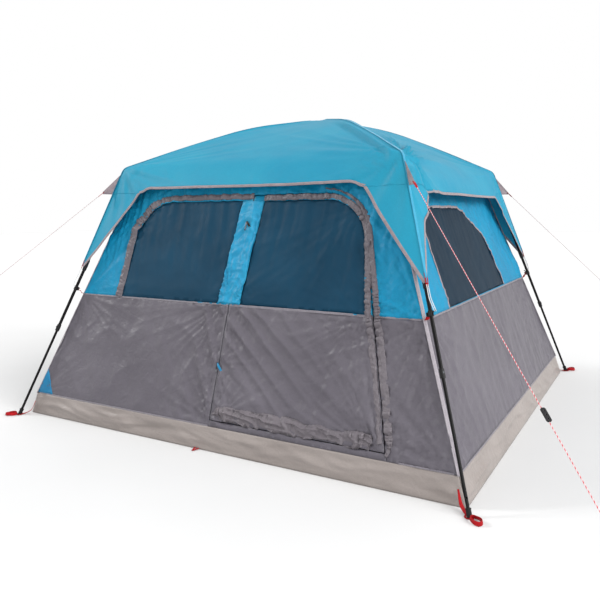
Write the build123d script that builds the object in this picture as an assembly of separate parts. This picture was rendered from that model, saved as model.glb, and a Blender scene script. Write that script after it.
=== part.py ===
"""Pop up cabin tent: a folding steel frame with a hub, an inner tent, a fly, a door and guy lines.

Millimetres. +X is to the right seen from the front, the front faces -Y, and +Z is up.
The origin is the centre of the ground that the tent stands on.
"""
from build123d import *
from math import hypot
import os

# ---- driving dimensions -------------------------------------------------------------------
PLAN_ANGLE = 44.6  # direction of the front right and rear right corners, degrees from +X
FOOT_R = 2131.0  # plan distance from the centre to a foot
SHOULDER_R, SHOULDER_Z = 1362.0, 1604.0  # top of a leg's axis
HUB_PIN_R, HUB_PIN_Z = 55.0, 1928.0  # pins of the roof hub
KNEE_R, KNEE_Z = 520.0, 1900.0  # bend in a roof arm
KNEE_BEND_R = 900.0

TUBE_R, TUBE_WALL = 9.5, 1.0  # upper legs and roof arms
LOWER_TUBE_R = 8.0
UPPER_TUBE_END = 1150.0  # distances down the leg's axis from the shoulder
LOWER_TUBE_START, LOWER_TUBE_END = 1000.0, 1765.0
TELESCOPE_TRAVEL = 560.0
BUTTON_AT = 1135.0
CLIP_AT = 845.0
BOOT_START, BOOT_R = 1738.0, 12.0

PIN_R, PIN_CLEARANCE = 3.0, 0.05
LUG_HALF, CHEEK_GAP, CHEEK_OUT = 4.0, 4.3, 8.3  # half widths across a clevis
LUG_R, CHEEK_R = 10.0, 11.0
LUG_HEIGHT = 16.4  # wider than the tube's bore, so that the end fitting is welded in
TUBE_FROM_PIN, LUG_IN_TUBE = 22.0, 18.0

CLOTH = 1.5  # every fabric panel's thickness
SEAM = 3.0  # gap that keeps two panels apart at a corner
FLOOR_X, FLOOR_Y = 1485.0, 1420.0  # half sizes of the groundsheet
SKIRT_TOP = 139.0
SKIRT_TOP_X, SKIRT_TOP_Y = 1441.0, 1404.0
WAIST = 801.0  # where grey lower walls meet blue upper walls
WAIST_X, WAIST_Y = 1191.0, 1185.0
WALL_TOP = 1500.0
CEILING_Z = 1850.0

ZIP_X_LOW, ZIP_X_TOP = 15.0, 68.0  # centre zip at the waist and at the top of the door
DOOR_BOTTOM, DOOR_TOP = 175.0, 1432.0
DOOR_HINGE_LOW_X = 1075.0
DOOR_HINGE_HIGH_X, DOOR_HINGE_HIGH = 830.0, 1150.0

FLY_APEX_Z = 1995.0
FLY_KNEE_R, FLY_KNEE_Z = 520.0, 1920.0
FLY_SHOULDER_R, FLY_SHOULDER_Z = 1385.0, 1634.0
FLY_TIP_R, FLY_TIP_Z = 1685.0, 985.0
EAVE_Z, EAVE_HALF = 1468.0, 795.0

CORD_R = 1.75
GUY_TAB_TIP_R, GUY_TAB_TIP_Z = 1528.0, 1470.0
GUY_START_R, GUY_START_Z = 1556.0, 1447.0
GUY_PEG_R, GUY_PEG_Z = 3372.0, 5.0  # where a peg would hold a guy line's far end
GUY_LINES = {  # shares of the way to the peg where a line ends and where its tensioner sits
    "front_left": (0.45, 0.40),
    "front_right": (0.77, 0.58),
    "rear_right": (0.575, 0.53),
}
KNOT_R, END_LOOP_R = 4.2, 12.0
TENSIONER = (58.0, 20.0, 6.0)
TENSIONER_HOLES = (-18, 0, 18)

CORNERS = {
    "front_left": 180 + PLAN_ANGLE,
    "front_right": -PLAN_ANGLE,
    "rear_right": PLAN_ANGLE,
    "rear_left": 180 - PLAN_ANGLE,
}

# ---- derived values -----------------------------------------------------------------------
LEG_LENGTH = hypot(FOOT_R - SHOULDER_R, SHOULDER_Z)
LEG_DIR = Vector(FOOT_R - SHOULDER_R, 0, -SHOULDER_Z) / LEG_LENGTH
LEG_IN = Vector(LEG_DIR.Z, 0, -LEG_DIR.X)  # square to the leg, towards the tent's centre
SHOULDER = Vector(SHOULDER_R, 0, SHOULDER_Z)
HUB_PIN = Vector(HUB_PIN_R, 0, HUB_PIN_Z)
KNEE = Vector(KNEE_R, 0, KNEE_Z)
ELBOW_PIN = SHOULDER + LEG_IN * 34 - LEG_DIR * 25
SIDEWAYS = Vector(0, 1, 0)
LEAN_Y = (SKIRT_TOP_Y - WAIST_Y) / (WAIST - SKIRT_TOP)
LEAN_X = (SKIRT_TOP_X - WAIST_X) / (WAIST - SKIRT_TOP)

os.makedirs("parts", exist_ok=True)


def save(name, *shapes):
    """Writes one node; several shapes stay separate solids in it."""
    shape = shapes[0] if len(shapes) == 1 else Compound(children=list(shapes))
    export_step(shape, f"parts/{name}.step")


# ---- small helpers ------------------------------------------------------------------------
def rod(start, direction, radius, length):
    """Cylinder that starts at a point and runs along a direction."""
    seat = Plane(origin=start, z_dir=direction)
    return seat * Cylinder(radius, length, align=(Align.CENTER, Align.CENTER, Align.MIN))


def cross_pin(centre, radius, half_width):
    """Cylinder across the leg's plane, centred on a point."""
    return rod(centre - SIDEWAYS * half_width, SIDEWAYS, radius, 2 * half_width)


def bar(start, end, height, half_width):
    """Flat bar in the leg's plane from one point to another."""
    along = end - start
    seat = Plane(origin=start, x_dir=along.normalized(), z_dir=SIDEWAYS)
    blank = Box(along.length, height, 2 * half_width, align=(Align.MIN, Align.CENTER, Align.CENTER))
    return seat * blank


def cheeks(pin, root):
    """Two clevis cheeks with their pin, from a pin back to a body."""
    solid = bar(pin, root, 2 * CHEEK_R - 4, CHEEK_OUT) + cross_pin(pin, CHEEK_R, CHEEK_OUT)
    slot = bar(pin, root, 2 * CHEEK_R + 8, CHEEK_GAP) + cross_pin(pin, CHEEK_R + 4, CHEEK_GAP)
    return solid - slot + cross_pin(pin, PIN_R, CHEEK_OUT)


def lug(pin, towards):
    """Flat end fitting of a tube, bored for a pin."""
    along = (towards - pin).normalized()
    shank_end = pin + along * (TUBE_FROM_PIN + LUG_IN_TUBE)
    body = cross_pin(pin, LUG_R, LUG_HALF) + bar(pin, shank_end, LUG_HEIGHT, LUG_HALF)
    return body - cross_pin(pin, PIN_R + PIN_CLEARANCE, LUG_HALF + 1)


def down_leg(distance):
    """Point on the leg's axis."""
    return SHOULDER + LEG_DIR * distance


def radial(point, corner):
    """Point given as (radius, sideways, height) in a corner's vertical plane."""
    return Vector(*point).rotate(Axis.Z, CORNERS[corner])


def slab(points, thickness=CLOTH):
    """Flat panel with its middle in the plane of its corner points."""
    face = make_face(Polyline(*points, close=True))
    return extrude(face, amount=thickness / 2, both=True)


# ---- frame: one corner, built in the XZ plane ---------------------------------------------
def build_arm():
    start = HUB_PIN + (KNEE - HUB_PIN).normalized() * TUBE_FROM_PIN
    end = ELBOW_PIN + (KNEE - ELBOW_PIN).normalized() * TUBE_FROM_PIN
    path = FilletPolyline(start, KNEE, end, radius=KNEE_BEND_R)
    ring = Circle(TUBE_R) - Circle(TUBE_R - TUBE_WALL)
    tube = sweep(Plane(origin=path @ 0, z_dir=path % 0) * ring, path=path)
    return tube + lug(HUB_PIN, KNEE) + lug(ELBOW_PIN, KNEE)


def build_elbow():
    body = rod(down_leg(-10), LEG_DIR, 13, 60) + cheeks(ELBOW_PIN, down_leg(-4))
    arm_room = cross_pin(ELBOW_PIN, CHEEK_R + 2, CHEEK_GAP)
    return body - rod(down_leg(5), LEG_DIR, TUBE_R, 60) - arm_room + cross_pin(ELBOW_PIN, PIN_R, CHEEK_OUT)


def build_upper_leg():
    length = UPPER_TUBE_END - 5
    tube = rod(down_leg(5), LEG_DIR, TUBE_R, length)
    tube -= rod(down_leg(5), LEG_DIR, TUBE_R - TUBE_WALL, length)
    return tube - rod(down_leg(BUTTON_AT), -LEG_IN, 4.3, 20)


def build_lock_collar():
    collar = rod(down_leg(UPPER_TUBE_END - 34), LEG_DIR, 13, 44)
    collar += rod(down_leg(BUTTON_AT), -LEG_IN, 7.5, 13.5)
    collar -= rod(down_leg(UPPER_TUBE_END - 40), LEG_DIR, TUBE_R, 40)
    collar -= rod(down_leg(UPPER_TUBE_END - 10), LEG_DIR, LOWER_TUBE_R + 0.4, 40)
    return collar - rod(down_leg(BUTTON_AT), -LEG_IN, 4.3, 20)


def build_lock_button():
    inner_end = 8.6
    return rod(down_leg(BUTTON_AT) - LEG_IN * inner_end, -LEG_IN, 4.0, 16.5 - inner_end)


def build_lower_leg():
    length = LOWER_TUBE_END - LOWER_TUBE_START
    tube = rod(down_leg(LOWER_TUBE_START), LEG_DIR, LOWER_TUBE_R, length)
    tube -= rod(down_leg(LOWER_TUBE_START), LEG_DIR, LOWER_TUBE_R - TUBE_WALL, length)
    for place in (BUTTON_AT, BUTTON_AT + TELESCOPE_TRAVEL):
        tube -= rod(down_leg(place), -LEG_IN, 4.4, 20)
    return tube


def build_boot():
    boot = rod(down_leg(BOOT_START), LEG_DIR, BOOT_R, 70)
    boot += rod(down_leg(BOOT_START), LEG_DIR, BOOT_R + 1.5, 6)
    boot -= rod(down_leg(BOOT_START - 1), LEG_DIR, LOWER_TUBE_R, LOWER_TUBE_END - BOOT_START + 1)
    below = Pos(FOOT_R, 0, 0) * Box(200, 200, 100, align=(Align.CENTER, Align.CENTER, Align.MAX))
    return boot - below


def build_clip():
    """Snap hook round the leg, with an eye for the webbing and a horn for the fly's elastic."""
    centre = down_leg(CLIP_AT)
    ring = rod(centre - LEG_DIR * 13, LEG_DIR, 13.5, 26) - rod(centre - LEG_DIR * 14, LEG_DIR, TUBE_R, 28)
    mouth = Plane(origin=centre - LEG_IN * 20, x_dir=LEG_DIR, z_dir=LEG_IN) * Box(40, 11, 40)
    eye = bar(centre + LEG_IN * 11, centre + LEG_IN * 21, 20, 14)
    eye -= bar(centre + LEG_IN * 14, centre + LEG_IN * 18, 26, 11.5)
    horn = Plane(origin=centre + LEG_IN * 4 - LEG_DIR * 6 + SIDEWAYS * 13, z_dir=SIDEWAYS - LEG_DIR * 0.7)
    return ring - mouth + eye + horn * Cone(4, 2, 26, align=(Align.CENTER, Align.CENTER, Align.MIN))


frame_parts = {
    "roof_arm": build_arm(),
    "elbow": build_elbow(),
    "upper_leg": build_upper_leg(),
    "lock_collar": build_lock_collar(),
    "lock_button": build_lock_button(),
    "pole_clip": build_clip(),
    "lower_leg": build_lower_leg(),
    "foot_boot": build_boot(),
}
for corner, turn in CORNERS.items():
    for part_name, shape in frame_parts.items():
        save(f"{part_name}_{corner}", Rot(0, 0, turn) * shape)

# ---- frame: roof hub ----------------------------------------------------------------------
core = Pos(0, 0, HUB_PIN_Z) * Cylinder(30, 44)
spider = core
for turn in CORNERS.values():
    spider += Rot(0, 0, turn) * cheeks(HUB_PIN, Vector(18, 0, HUB_PIN_Z))
spider += Pos(0, 0, HUB_PIN_Z - 30) * (Cylinder(12, 20) - Cylinder(7, 30))
save("hub_body", spider)

cap = Pos(0, 0, HUB_PIN_Z + 22) * Cylinder(30, 22, align=(Align.CENTER, Align.CENTER, Align.MIN))
save("hub_cap", fillet(cap.edges().group_by(Axis.Z)[-1], 9))


# ---- inner tent ---------------------------------------------------------------------------
def wall_x(z):
    return SKIRT_TOP_X - LEAN_X * (z - SKIRT_TOP)


def wall_y(z):
    return SKIRT_TOP_Y - LEAN_Y * (z - SKIRT_TOP)


def on_front(x, z):
    return Vector(x, -wall_y(z), z)


def on_right(y, z):
    return Vector(wall_x(z), y, z)


def outline(place, corners):
    """Face of a wall shape: corners are (across, height, rounding radius)."""
    face = make_face(Polyline(*[place(across, z) for across, z, _ in corners], close=True))
    for across, z, rounding in corners:
        if rounding:
            corner = face.vertices().sort_by_distance(place(across, z))[0]
            face = fillet(corner, rounding)
    return face


def panel(*faces, cut=()):
    """Fabric of the given faces, less the faces in cut, as one slab."""
    solid = extrude(faces[0], amount=CLOTH / 2, both=True)
    for face in cut:
        solid -= extrude(face, amount=CLOTH, both=True)
    return solid


def mirrored_x(shape):
    return mirror(shape, about=Plane.YZ)


def mirrored_y(shape):
    return mirror(shape, about=Plane.XZ)


def zip_x(z):
    """Centre zip: upright in the grey wall, leaning to the right above it."""
    return ZIP_X_LOW + max(0, z - WAIST) * (ZIP_X_TOP - ZIP_X_LOW) / (DOOR_TOP - WAIST)


def hinge_x(z):
    """The door's straight right edge."""
    share = (z - DOOR_BOTTOM) / (DOOR_HINGE_HIGH - DOOR_BOTTOM)
    return DOOR_HINGE_LOW_X + share * (DOOR_HINGE_HIGH_X - DOOR_HINGE_LOW_X)


floor_sheet = Pos(0, 0, CLOTH / 2) * Box(2 * FLOOR_X, 2 * FLOOR_Y, CLOTH)
save("floor_sheet", floor_sheet)

skirt_low, skirt_high = 3.5, SKIRT_TOP - 0.5
skirt_x = FLOOR_X - (FLOOR_X - SKIRT_TOP_X) * skirt_low / SKIRT_TOP
skirt_y = FLOOR_Y - (FLOOR_Y - SKIRT_TOP_Y) * skirt_low / SKIRT_TOP
front_skirt = slab([
    (-skirt_x + SEAM, -skirt_y, skirt_low), (skirt_x - SEAM, -skirt_y, skirt_low),
    (SKIRT_TOP_X - SEAM, -SKIRT_TOP_Y, skirt_high), (-SKIRT_TOP_X + SEAM, -SKIRT_TOP_Y, skirt_high),
])
right_skirt = slab([
    (skirt_x, -skirt_y + SEAM, skirt_low), (skirt_x, skirt_y - SEAM, skirt_low),
    (SKIRT_TOP_X, SKIRT_TOP_Y - SEAM, skirt_high), (SKIRT_TOP_X, -SKIRT_TOP_Y + SEAM, skirt_high),
])
save("tub_skirt", front_skirt, mirrored_y(front_skirt), right_skirt, mirrored_x(right_skirt))

lower, upper = (SKIRT_TOP + 1, WAIST - 0.5), (WAIST + 0.5, WALL_TOP)


def band(place, half_width, low, high, left=None, right=None):
    """Wall band between two heights; left and right give its ends where they aren't the corners."""
    left = left or (lambda z: -half_width(z) + SEAM)
    right = right or (lambda z: half_width(z) - SEAM)
    ends = [(left(low), low, 0), (right(low), low, 0), (right(high), high, 0), (left(high), high, 0)]
    return outline(place, ends)


door_outline = [
    (zip_x(DOOR_BOTTOM), DOOR_BOTTOM, 0), (hinge_x(DOOR_BOTTOM), DOOR_BOTTOM, 0),
    (hinge_x(DOOR_HINGE_HIGH), DOOR_HINGE_HIGH, 0), (hinge_x(DOOR_TOP) + 10, DOOR_TOP, 275),
    (zip_x(DOOR_TOP), DOOR_TOP, 0), (zip_x(WAIST), WAIST, 0),
]
doorway = outline(on_front, door_outline)
front_window = outline(on_front, [
    (-845, WAIST + 14, 0), (-68, WAIST + 14, 0), (-12, 1402, 0), (-792, 1402, 280),
])
side_window = outline(on_right, [
    (-765, WAIST + 8, 0), (552, WAIST + 10, 0), (432, 1172, 150), (60, 1358, 300), (-745, 1358, 160),
])

front_left_low = panel(band(on_front, wall_x, *lower, right=lambda z: zip_x(z) - SEAM))
front_right_low = panel(band(on_front, wall_x, *lower, left=lambda z: hinge_x(z) + SEAM))
door_sill = panel(band(on_front, wall_x, SKIRT_TOP + 1, DOOR_BOTTOM - SEAM,
                       left=lambda z: zip_x(z) - SEAM + 0.5, right=lambda z: hinge_x(z) + SEAM - 0.5))
save("front_wall_lower", front_left_low, front_right_low, door_sill)

front_left_up = panel(band(on_front, wall_x, *upper, right=lambda z: zip_x(z) - SEAM), cut=[front_window])
front_right_up = panel(
    band(on_front, wall_x, *upper, left=lambda z: zip_x(DOOR_TOP)),
    cut=[outline(on_front, [
        (zip_x(WAIST) - 60, WAIST - 20, 0), (hinge_x(WAIST - 20) + SEAM, WAIST - 20, 0),
        (hinge_x(DOOR_HINGE_HIGH) + SEAM, DOOR_HINGE_HIGH, 0),
        (hinge_x(DOOR_TOP) + 10 + SEAM, DOOR_TOP + SEAM, 275),
        (zip_x(DOOR_TOP) - 60, DOOR_TOP + SEAM, 0),
    ])],
)
save("front_wall_upper", front_left_up, front_right_up)

rear_low = mirrored_y(panel(band(on_front, wall_x, *lower)))
save("rear_wall_lower", rear_low)
rear_window = mirrored_x(front_window)
rear_up = mirrored_y(panel(band(on_front, wall_x, *upper), cut=[front_window, rear_window]))
save("rear_wall_upper", rear_up)

right_low = panel(band(on_right, wall_y, *lower))
right_up = panel(band(on_right, wall_y, *upper), cut=[side_window])
save("side_walls_lower", right_low, mirrored_x(right_low))
save("side_walls_upper", right_up, mirrored_x(right_up))

mesh_faces = [offset(face, amount=-1) for face in (front_window, rear_window, side_window)]
front_mesh, rear_mesh, side_mesh = [panel(face) for face in mesh_faces]
save("window_meshes", front_mesh, mirrored_y(front_mesh), mirrored_y(rear_mesh),
     side_mesh, mirrored_x(side_mesh))

ceiling_x, ceiling_y = wall_x(WALL_TOP) - 6, wall_y(WALL_TOP)
ceiling_edge_z = WALL_TOP + 2
front_ceiling = slab([
    (-ceiling_x, -ceiling_y, ceiling_edge_z), (ceiling_x, -ceiling_y, ceiling_edge_z), (0, -8, CEILING_Z),
])
side_ceiling = slab([
    (ceiling_x + 6, -ceiling_y + 6, ceiling_edge_z), (ceiling_x + 6, ceiling_y - 6, ceiling_edge_z),
    (8, 0, CEILING_Z),
])
save("inner_ceiling", front_ceiling, mirrored_y(front_ceiling), side_ceiling, mirrored_x(side_ceiling))

# ---- door ---------------------------------------------------------------------------------
door_mesh_outline = outline(on_front, [
    (zip_x(WAIST) + 72, WAIST + 14, 0), (872, WAIST + 14, 0), (782, 1398, 262), (zip_x(1398) + 74, 1398, 0),
])
leaf = offset(doorway, amount=-1.5)
save("door_panel", panel(leaf, cut=[door_mesh_outline]))
save("door_mesh", panel(offset(door_mesh_outline, amount=-1)))

out_of_front = Vector(0, -1, LEAN_Y).normalized()
flap_face = outline(on_front, [
    (55, DOOR_BOTTOM + 6, 0), (1030, DOOR_BOTTOM + 6, 0), (1016, 246, 0), (55, 236, 0),
])
storm_flap = extrude(flap_face.moved(Location(out_of_front * 1.2)), amount=11, dir=out_of_front)
save("door_storm_flap", storm_flap)


def zip_slider(z):
    """Slider with its pull tab, just in front of the fixed side of the centre zip."""
    middle = on_front(zip_x(z) - 11, z) + out_of_front * 1.6
    up = (on_front(zip_x(z + 10), z + 10) - on_front(zip_x(z), z)).normalized()
    seat = Plane(origin=middle, x_dir=up, z_dir=out_of_front)
    flat = (Align.CENTER, Align.CENTER, Align.MIN)
    slider = Box(16, 10, 3, align=flat) + Pos(1, 0, 3) * Box(9, 4, 2, align=flat)
    tab = Pos(-24, 0, 1.5) * (Box(46, 7, 2, align=flat) - Pos(-16, 0, 0) * Cylinder(2, 9))
    return seat * (slider + tab)


save("zip_slider_upper", zip_slider(1272))
save("zip_slider_lower", zip_slider(475))


# ---- fly ----------------------------------------------------------------------------------
def fly_edge_r(z):
    share = (FLY_SHOULDER_Z - z) / (FLY_SHOULDER_Z - FLY_TIP_Z)
    return FLY_SHOULDER_R + share * (FLY_TIP_R - FLY_SHOULDER_R)


def ring_ends(left, right, radius, z):
    """The two ends of one side's seam at a radius and height, drawn in from the corner edges."""
    along = (radial((1, 0, 0), right) - radial((1, 0, 0), left)).normalized()
    return radial((radius, 0, z), left) + along * SEAM, radial((radius, 0, z), right) - along * SEAM


SIDES = (("front_left", "front_right"), ("front_right", "rear_right"),
         ("rear_right", "rear_left"), ("rear_left", "front_left"))
fly_panels, corner_flaps = [], []
for left, right in SIDES:
    peak_left, peak_right = ring_ends(left, right, 20, FLY_APEX_Z - CLOTH)
    knee_left, knee_right = ring_ends(left, right, FLY_KNEE_R - 3, FLY_KNEE_Z + 0.5)
    crown = slab([peak_left, peak_right, knee_right, knee_left])
    knee_left, knee_right = ring_ends(left, right, FLY_KNEE_R + 1, FLY_KNEE_Z - 0.5)
    hip_left, hip_right = ring_ends(left, right, FLY_SHOULDER_R - 3, FLY_SHOULDER_Z + 1)
    slope = slab([knee_left, knee_right, hip_right, hip_left])
    shoulder_left, shoulder_right = ring_ends(left, right, FLY_SHOULDER_R, FLY_SHOULDER_Z)
    tip_left, tip_right = ring_ends(left, right, FLY_TIP_R, FLY_TIP_Z)
    eave_edge_left, eave_edge_right = ring_ends(left, right, fly_edge_r(EAVE_Z), EAVE_Z)
    along = (eave_edge_right - eave_edge_left).normalized()
    eave_middle = (eave_edge_left + eave_edge_right) / 2
    eave_left, eave_right = eave_middle - along * EAVE_HALF, eave_middle + along * EAVE_HALF
    fly_panels += [crown, slope, slab([shoulder_left, shoulder_right, eave_right, eave_left])]
    corner_flaps += [
        slab([shoulder_left, eave_left - along * 1, tip_left]),
        slab([shoulder_right, tip_right, eave_right + along * 1]),
    ]
save("fly_roof", *fly_panels)
save("fly_corner_flaps", *corner_flaps)


# ---- webbing, loops and guy lines ---------------------------------------------------------
def corner_slab(points, width):
    """Strip across a corner's plane, made from its outline seen from the side."""
    face = make_face(Polyline(*[(r, 0, z) for r, z in points], close=True))
    return extrude(face, amount=width / 2, both=True)


def strap(points, thickness, width):
    """Webbing that follows points (radius, height) in a corner's plane."""
    top = [(r, z + thickness) for r, z in reversed(points)]
    return corner_slab(points + top, width)


waist_r = hypot(WAIST_X, WAIST_Y)
eye_point = down_leg(CLIP_AT) + LEG_IN * 16
clip_strap = strap([(waist_r + 8, WAIST + 3), (eye_point.X - 7, eye_point.Z - 9)], CLOTH, 20)
guy_tab = slab([
    (fly_edge_r(1530) + 4, 0, 1530), (fly_edge_r(1408) + 4, 0, 1408), (GUY_TAB_TIP_R, 0, GUY_TAB_TIP_Z),
])
guy_loop = strap([(GUY_TAB_TIP_R + 1, GUY_TAB_TIP_Z - 2.5), (GUY_START_R - 2, GUY_START_Z)], 2.5, 14)
tabs = (clip_strap, guy_tab, guy_loop)
save("webbing_tabs", *[Rot(0, 0, turn) * shape for turn in CORNERS.values() for shape in tabs])

foot_eye = Pos(FOOT_R - 2, 0, 1) * (Cylinder(24, 1.5, align=(Align.CENTER, Align.CENTER, Align.MIN))
                                    - Cylinder(17, 20))
inner_strap = strap([(2058, 22), (2088, 1.0), (FOOT_R - 21, 1.0)], CLOTH, 22)
outer_strap = strap([(FOOT_R + 17, 1.0), (2178, 1.0), (2196, 7)], CLOTH, 22)
foot_strap = inner_strap + foot_eye + outer_strap
hem_loop = Pos(-60, -FLOOR_Y - 4, 1) * (
    extrude(make_face(Polyline((-16, 0), (16, 0), (6, -34), (-6, -34), close=True)), amount=CLOTH)
    - Pos(0, -25, 0) * Cylinder(4.5, 9)
)
foot_straps = [Rot(0, 0, turn) * foot_strap for turn in CORNERS.values()]
save("corner_straps", *foot_straps, hem_loop, mirrored_y(hem_loop))

guy_start, guy_peg = Vector(GUY_START_R, 0, GUY_START_Z), Vector(GUY_PEG_R, 0, GUY_PEG_Z)
guy_dir = (guy_peg - guy_start).normalized()
guy_normal = Vector(-guy_dir.Z, 0, guy_dir.X)


def build_guy_line(length):
    """Taut line with the knot and the loop at its far end."""
    end = guy_start + guy_dir * length
    loop_seat = Plane(origin=end + guy_dir * END_LOOP_R, z_dir=SIDEWAYS)
    line = rod(guy_start, guy_dir, CORD_R, length)
    return line + Pos(end) * Sphere(KNOT_R) + loop_seat * Torus(END_LOOP_R, CORD_R)


def build_tensioner(distance):
    """Three hole runner on the line, with a bore along it for the line."""
    length, width, depth = TENSIONER
    plate = Box(length, width, depth) - Pos(0, 0, -depth / 2) * Rot(0, 90, 0) * Cylinder(CORD_R + 0.4, 80)
    plate = fillet(plate.edges().filter_by(Axis.Z).group_by(SortBy.LENGTH)[-1], 7)
    for x in TENSIONER_HOLES:
        plate -= Pos(x, 0, 0) * Cylinder(3.2, 20)
    seat = Plane(origin=guy_start + guy_dir * distance, x_dir=guy_dir, z_dir=guy_normal)
    return seat * Pos(0, 0, depth / 2) * plate


way_to_peg = (guy_peg - guy_start).length
for corner, (line_share, tensioner_share) in GUY_LINES.items():
    run = way_to_peg * line_share
    turned = Rot(0, 0, CORNERS[corner])
    save(f"guy_line_{corner}", turned * build_guy_line(run))
    save(f"line_tensioner_{corner}", turned * build_tensioner(way_to_peg * tensioner_share))
    print(f"guy line {corner}: {run:.0f} mm, straight, so no bend radius")
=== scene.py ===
"""Looks of the pop up cabin tent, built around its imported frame.

Metres, in the frame's own axes: +Z up, the front faces -Y. Each fabric panel is a thin sheet
with real folds, and each finish is procedural.
"""

import math

import bmesh
import bpy
import numpy as np
from mathutils import Matrix, Quaternion, Vector, kdtree, noise
from mathutils.geometry import delaunay_2d_cdt


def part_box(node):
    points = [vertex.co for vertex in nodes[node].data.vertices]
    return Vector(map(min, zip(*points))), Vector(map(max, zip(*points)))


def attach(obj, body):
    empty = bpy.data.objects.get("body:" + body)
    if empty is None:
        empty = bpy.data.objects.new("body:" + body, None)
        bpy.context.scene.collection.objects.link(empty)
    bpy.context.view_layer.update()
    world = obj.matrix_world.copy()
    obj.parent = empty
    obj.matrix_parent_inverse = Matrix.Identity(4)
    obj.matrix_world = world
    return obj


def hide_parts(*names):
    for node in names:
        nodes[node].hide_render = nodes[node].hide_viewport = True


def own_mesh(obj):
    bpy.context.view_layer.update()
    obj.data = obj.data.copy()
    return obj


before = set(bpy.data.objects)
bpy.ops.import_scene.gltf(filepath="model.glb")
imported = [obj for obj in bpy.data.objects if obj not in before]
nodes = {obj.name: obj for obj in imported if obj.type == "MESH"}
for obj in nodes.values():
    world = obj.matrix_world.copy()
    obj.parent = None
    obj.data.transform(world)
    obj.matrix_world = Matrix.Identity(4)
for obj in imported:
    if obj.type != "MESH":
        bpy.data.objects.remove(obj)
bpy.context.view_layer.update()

# ---- driving dimensions, as the frame has them ----------------------------------------------
PLAN_ANGLE = 44.6
CORNERS = {
    "front_left": 180 + PLAN_ANGLE,
    "front_right": -PLAN_ANGLE,
    "rear_right": PLAN_ANGLE,
    "rear_left": 180 - PLAN_ANGLE,
}
floor_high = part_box("floor_sheet")[1]
lower_low, lower_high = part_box("rear_wall_lower")
side_low, side_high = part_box("side_walls_lower")
upper_side_low, upper_side_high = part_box("side_walls_upper")
SKIRT_TOP, WAIST = lower_low.z - 0.001, lower_high.z + 0.0005
WALL_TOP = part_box("rear_wall_upper")[1].z
LEAN_Y = (lower_high.y - lower_low.y) / (lower_high.z - lower_low.z)
LEAN_X = (side_high.x - upper_side_high.x) / (upper_side_low.z - side_low.z)

ZIP_X_LOW, ZIP_X_TOP = 0.015, 0.068
DOOR_BOTTOM, DOOR_TOP = 0.175, 1.432
HINGE_LOW, HINGE_HIGH = (1.075, 0.175), (0.830, 1.150)  # (x, z) of the door's straight edge

# (radius, z) from the peak to a corner's tip
FLY_RIDGE = ((0.0, 1.9945), (0.52, 1.9215), (0.95, 1.787), (1.385, 1.634), (1.685, 0.985))
EAVE_Z, EAVE_HALF = 1.468, 0.795
FOOT_R, SHOULDER = 2.131, (1.362, 1.604)

GUY_START, GUY_PEG = (1.556, 1.447), (3.372, 0.005)  # (radius, z)
GUY_SHARES = {"front_left": 0.45, "front_right": 0.77, "rear_right": 0.575}
GUY_DIAMETER = 0.0035
CLOTH_THICKNESS, HEAVY_THICKNESS, NET_THICKNESS = 0.0009, 0.0012, 0.0006


# ---- small geometry helpers -----------------------------------------------------------------
def lerp(a, b, t):
    return a + (b - a) * t


def smooth(t):
    t = min(1.0, max(0.0, t))
    return t * t * (3 - 2 * t)


def wall_x(z):
    return side_high.x - LEAN_X * (z - SKIRT_TOP)


def wall_y(z):
    return lower_high.y - LEAN_Y * (z - SKIRT_TOP)


def zip_x(z):
    return ZIP_X_LOW + max(0, z - WAIST) * (ZIP_X_TOP - ZIP_X_LOW) / (DOOR_TOP - WAIST)


def hinge_x(z):
    share = (z - HINGE_LOW[1]) / (HINGE_HIGH[1] - HINGE_LOW[1])
    return lerp(HINGE_LOW[0], HINGE_HIGH[0], share)


def at_corner(radius, z, corner, sideways=0.0):
    """Point in a corner's vertical plane, or beside it."""
    angle = math.radians(CORNERS[corner])
    return Vector((
        radius * math.cos(angle) - sideways * math.sin(angle),
        radius * math.sin(angle) + sideways * math.cos(angle),
        z,
    ))


FACING = {"front": (0, -1), "rear": (0, 1), "right": (1, 0), "left": (-1, 0)}


def on_wall(side, across, z, lift=0.0):
    """Point on a wall; across runs along +X on the front and rear, and along +Y on the sides."""
    x, y = FACING[side]
    place = (x * wall_x(z), across, z) if x else (across, y * wall_y(z), z)
    return Vector(place) + Vector((x, y, LEAN_X if x else LEAN_Y)).normalized() * lift


def rounded(corners, arc_steps=10):
    """Outline from (x, y, radius) corners, with an arc wherever the radius isn't 0."""
    points = []
    for i, (x, y, radius) in enumerate(corners):
        here = Vector((x, y))
        if not radius:
            points.append(here)
            continue
        before = (Vector(corners[i - 1][:2]) - here).normalized()
        after = (Vector(corners[(i + 1) % len(corners)][:2]) - here).normalized()
        half = before.angle(after) / 2
        centre = here + (before + after).normalized() * (radius / math.sin(half))
        start = here + before * (radius / math.tan(half)) - centre
        end = here + after * (radius / math.tan(half)) - centre
        turn = start.angle_signed(end)
        for step in range(arc_steps + 1):
            points.append(centre + Matrix.Rotation(-turn * step / arc_steps, 2) @ start)
    return points


def outline(*places):
    """Outline from (x, z) places."""
    return [Vector(place) for place in places]


def resampled(points, step, closed=True):
    """The same outline with points no further apart than step."""
    out = []
    for a, b in zip(points, points[1:] + points[:1] if closed else points[1:]):
        count = max(1, math.ceil((b - a).length / step))
        out += [a.lerp(b, i / count) for i in range(count)]
    return out if closed else out + [points[-1]]


def smooth_path(points, count):
    """Catmull-Rom curve through points."""
    padded = [points[0] * 2 - points[1], *points, points[-1] * 2 - points[-2]]
    out = []
    for a, b, c, d in zip(padded, padded[1:], padded[2:], padded[3:]):
        for t in (k / count for k in range(count)):
            out.append(0.5 * ((2 * b) + (c - a) * t + (2 * a - 5 * b + 4 * c - d) * t * t
                              + (3 * b - a - 3 * c + d) * t ** 3))
    return out + [points[-1]]


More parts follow.
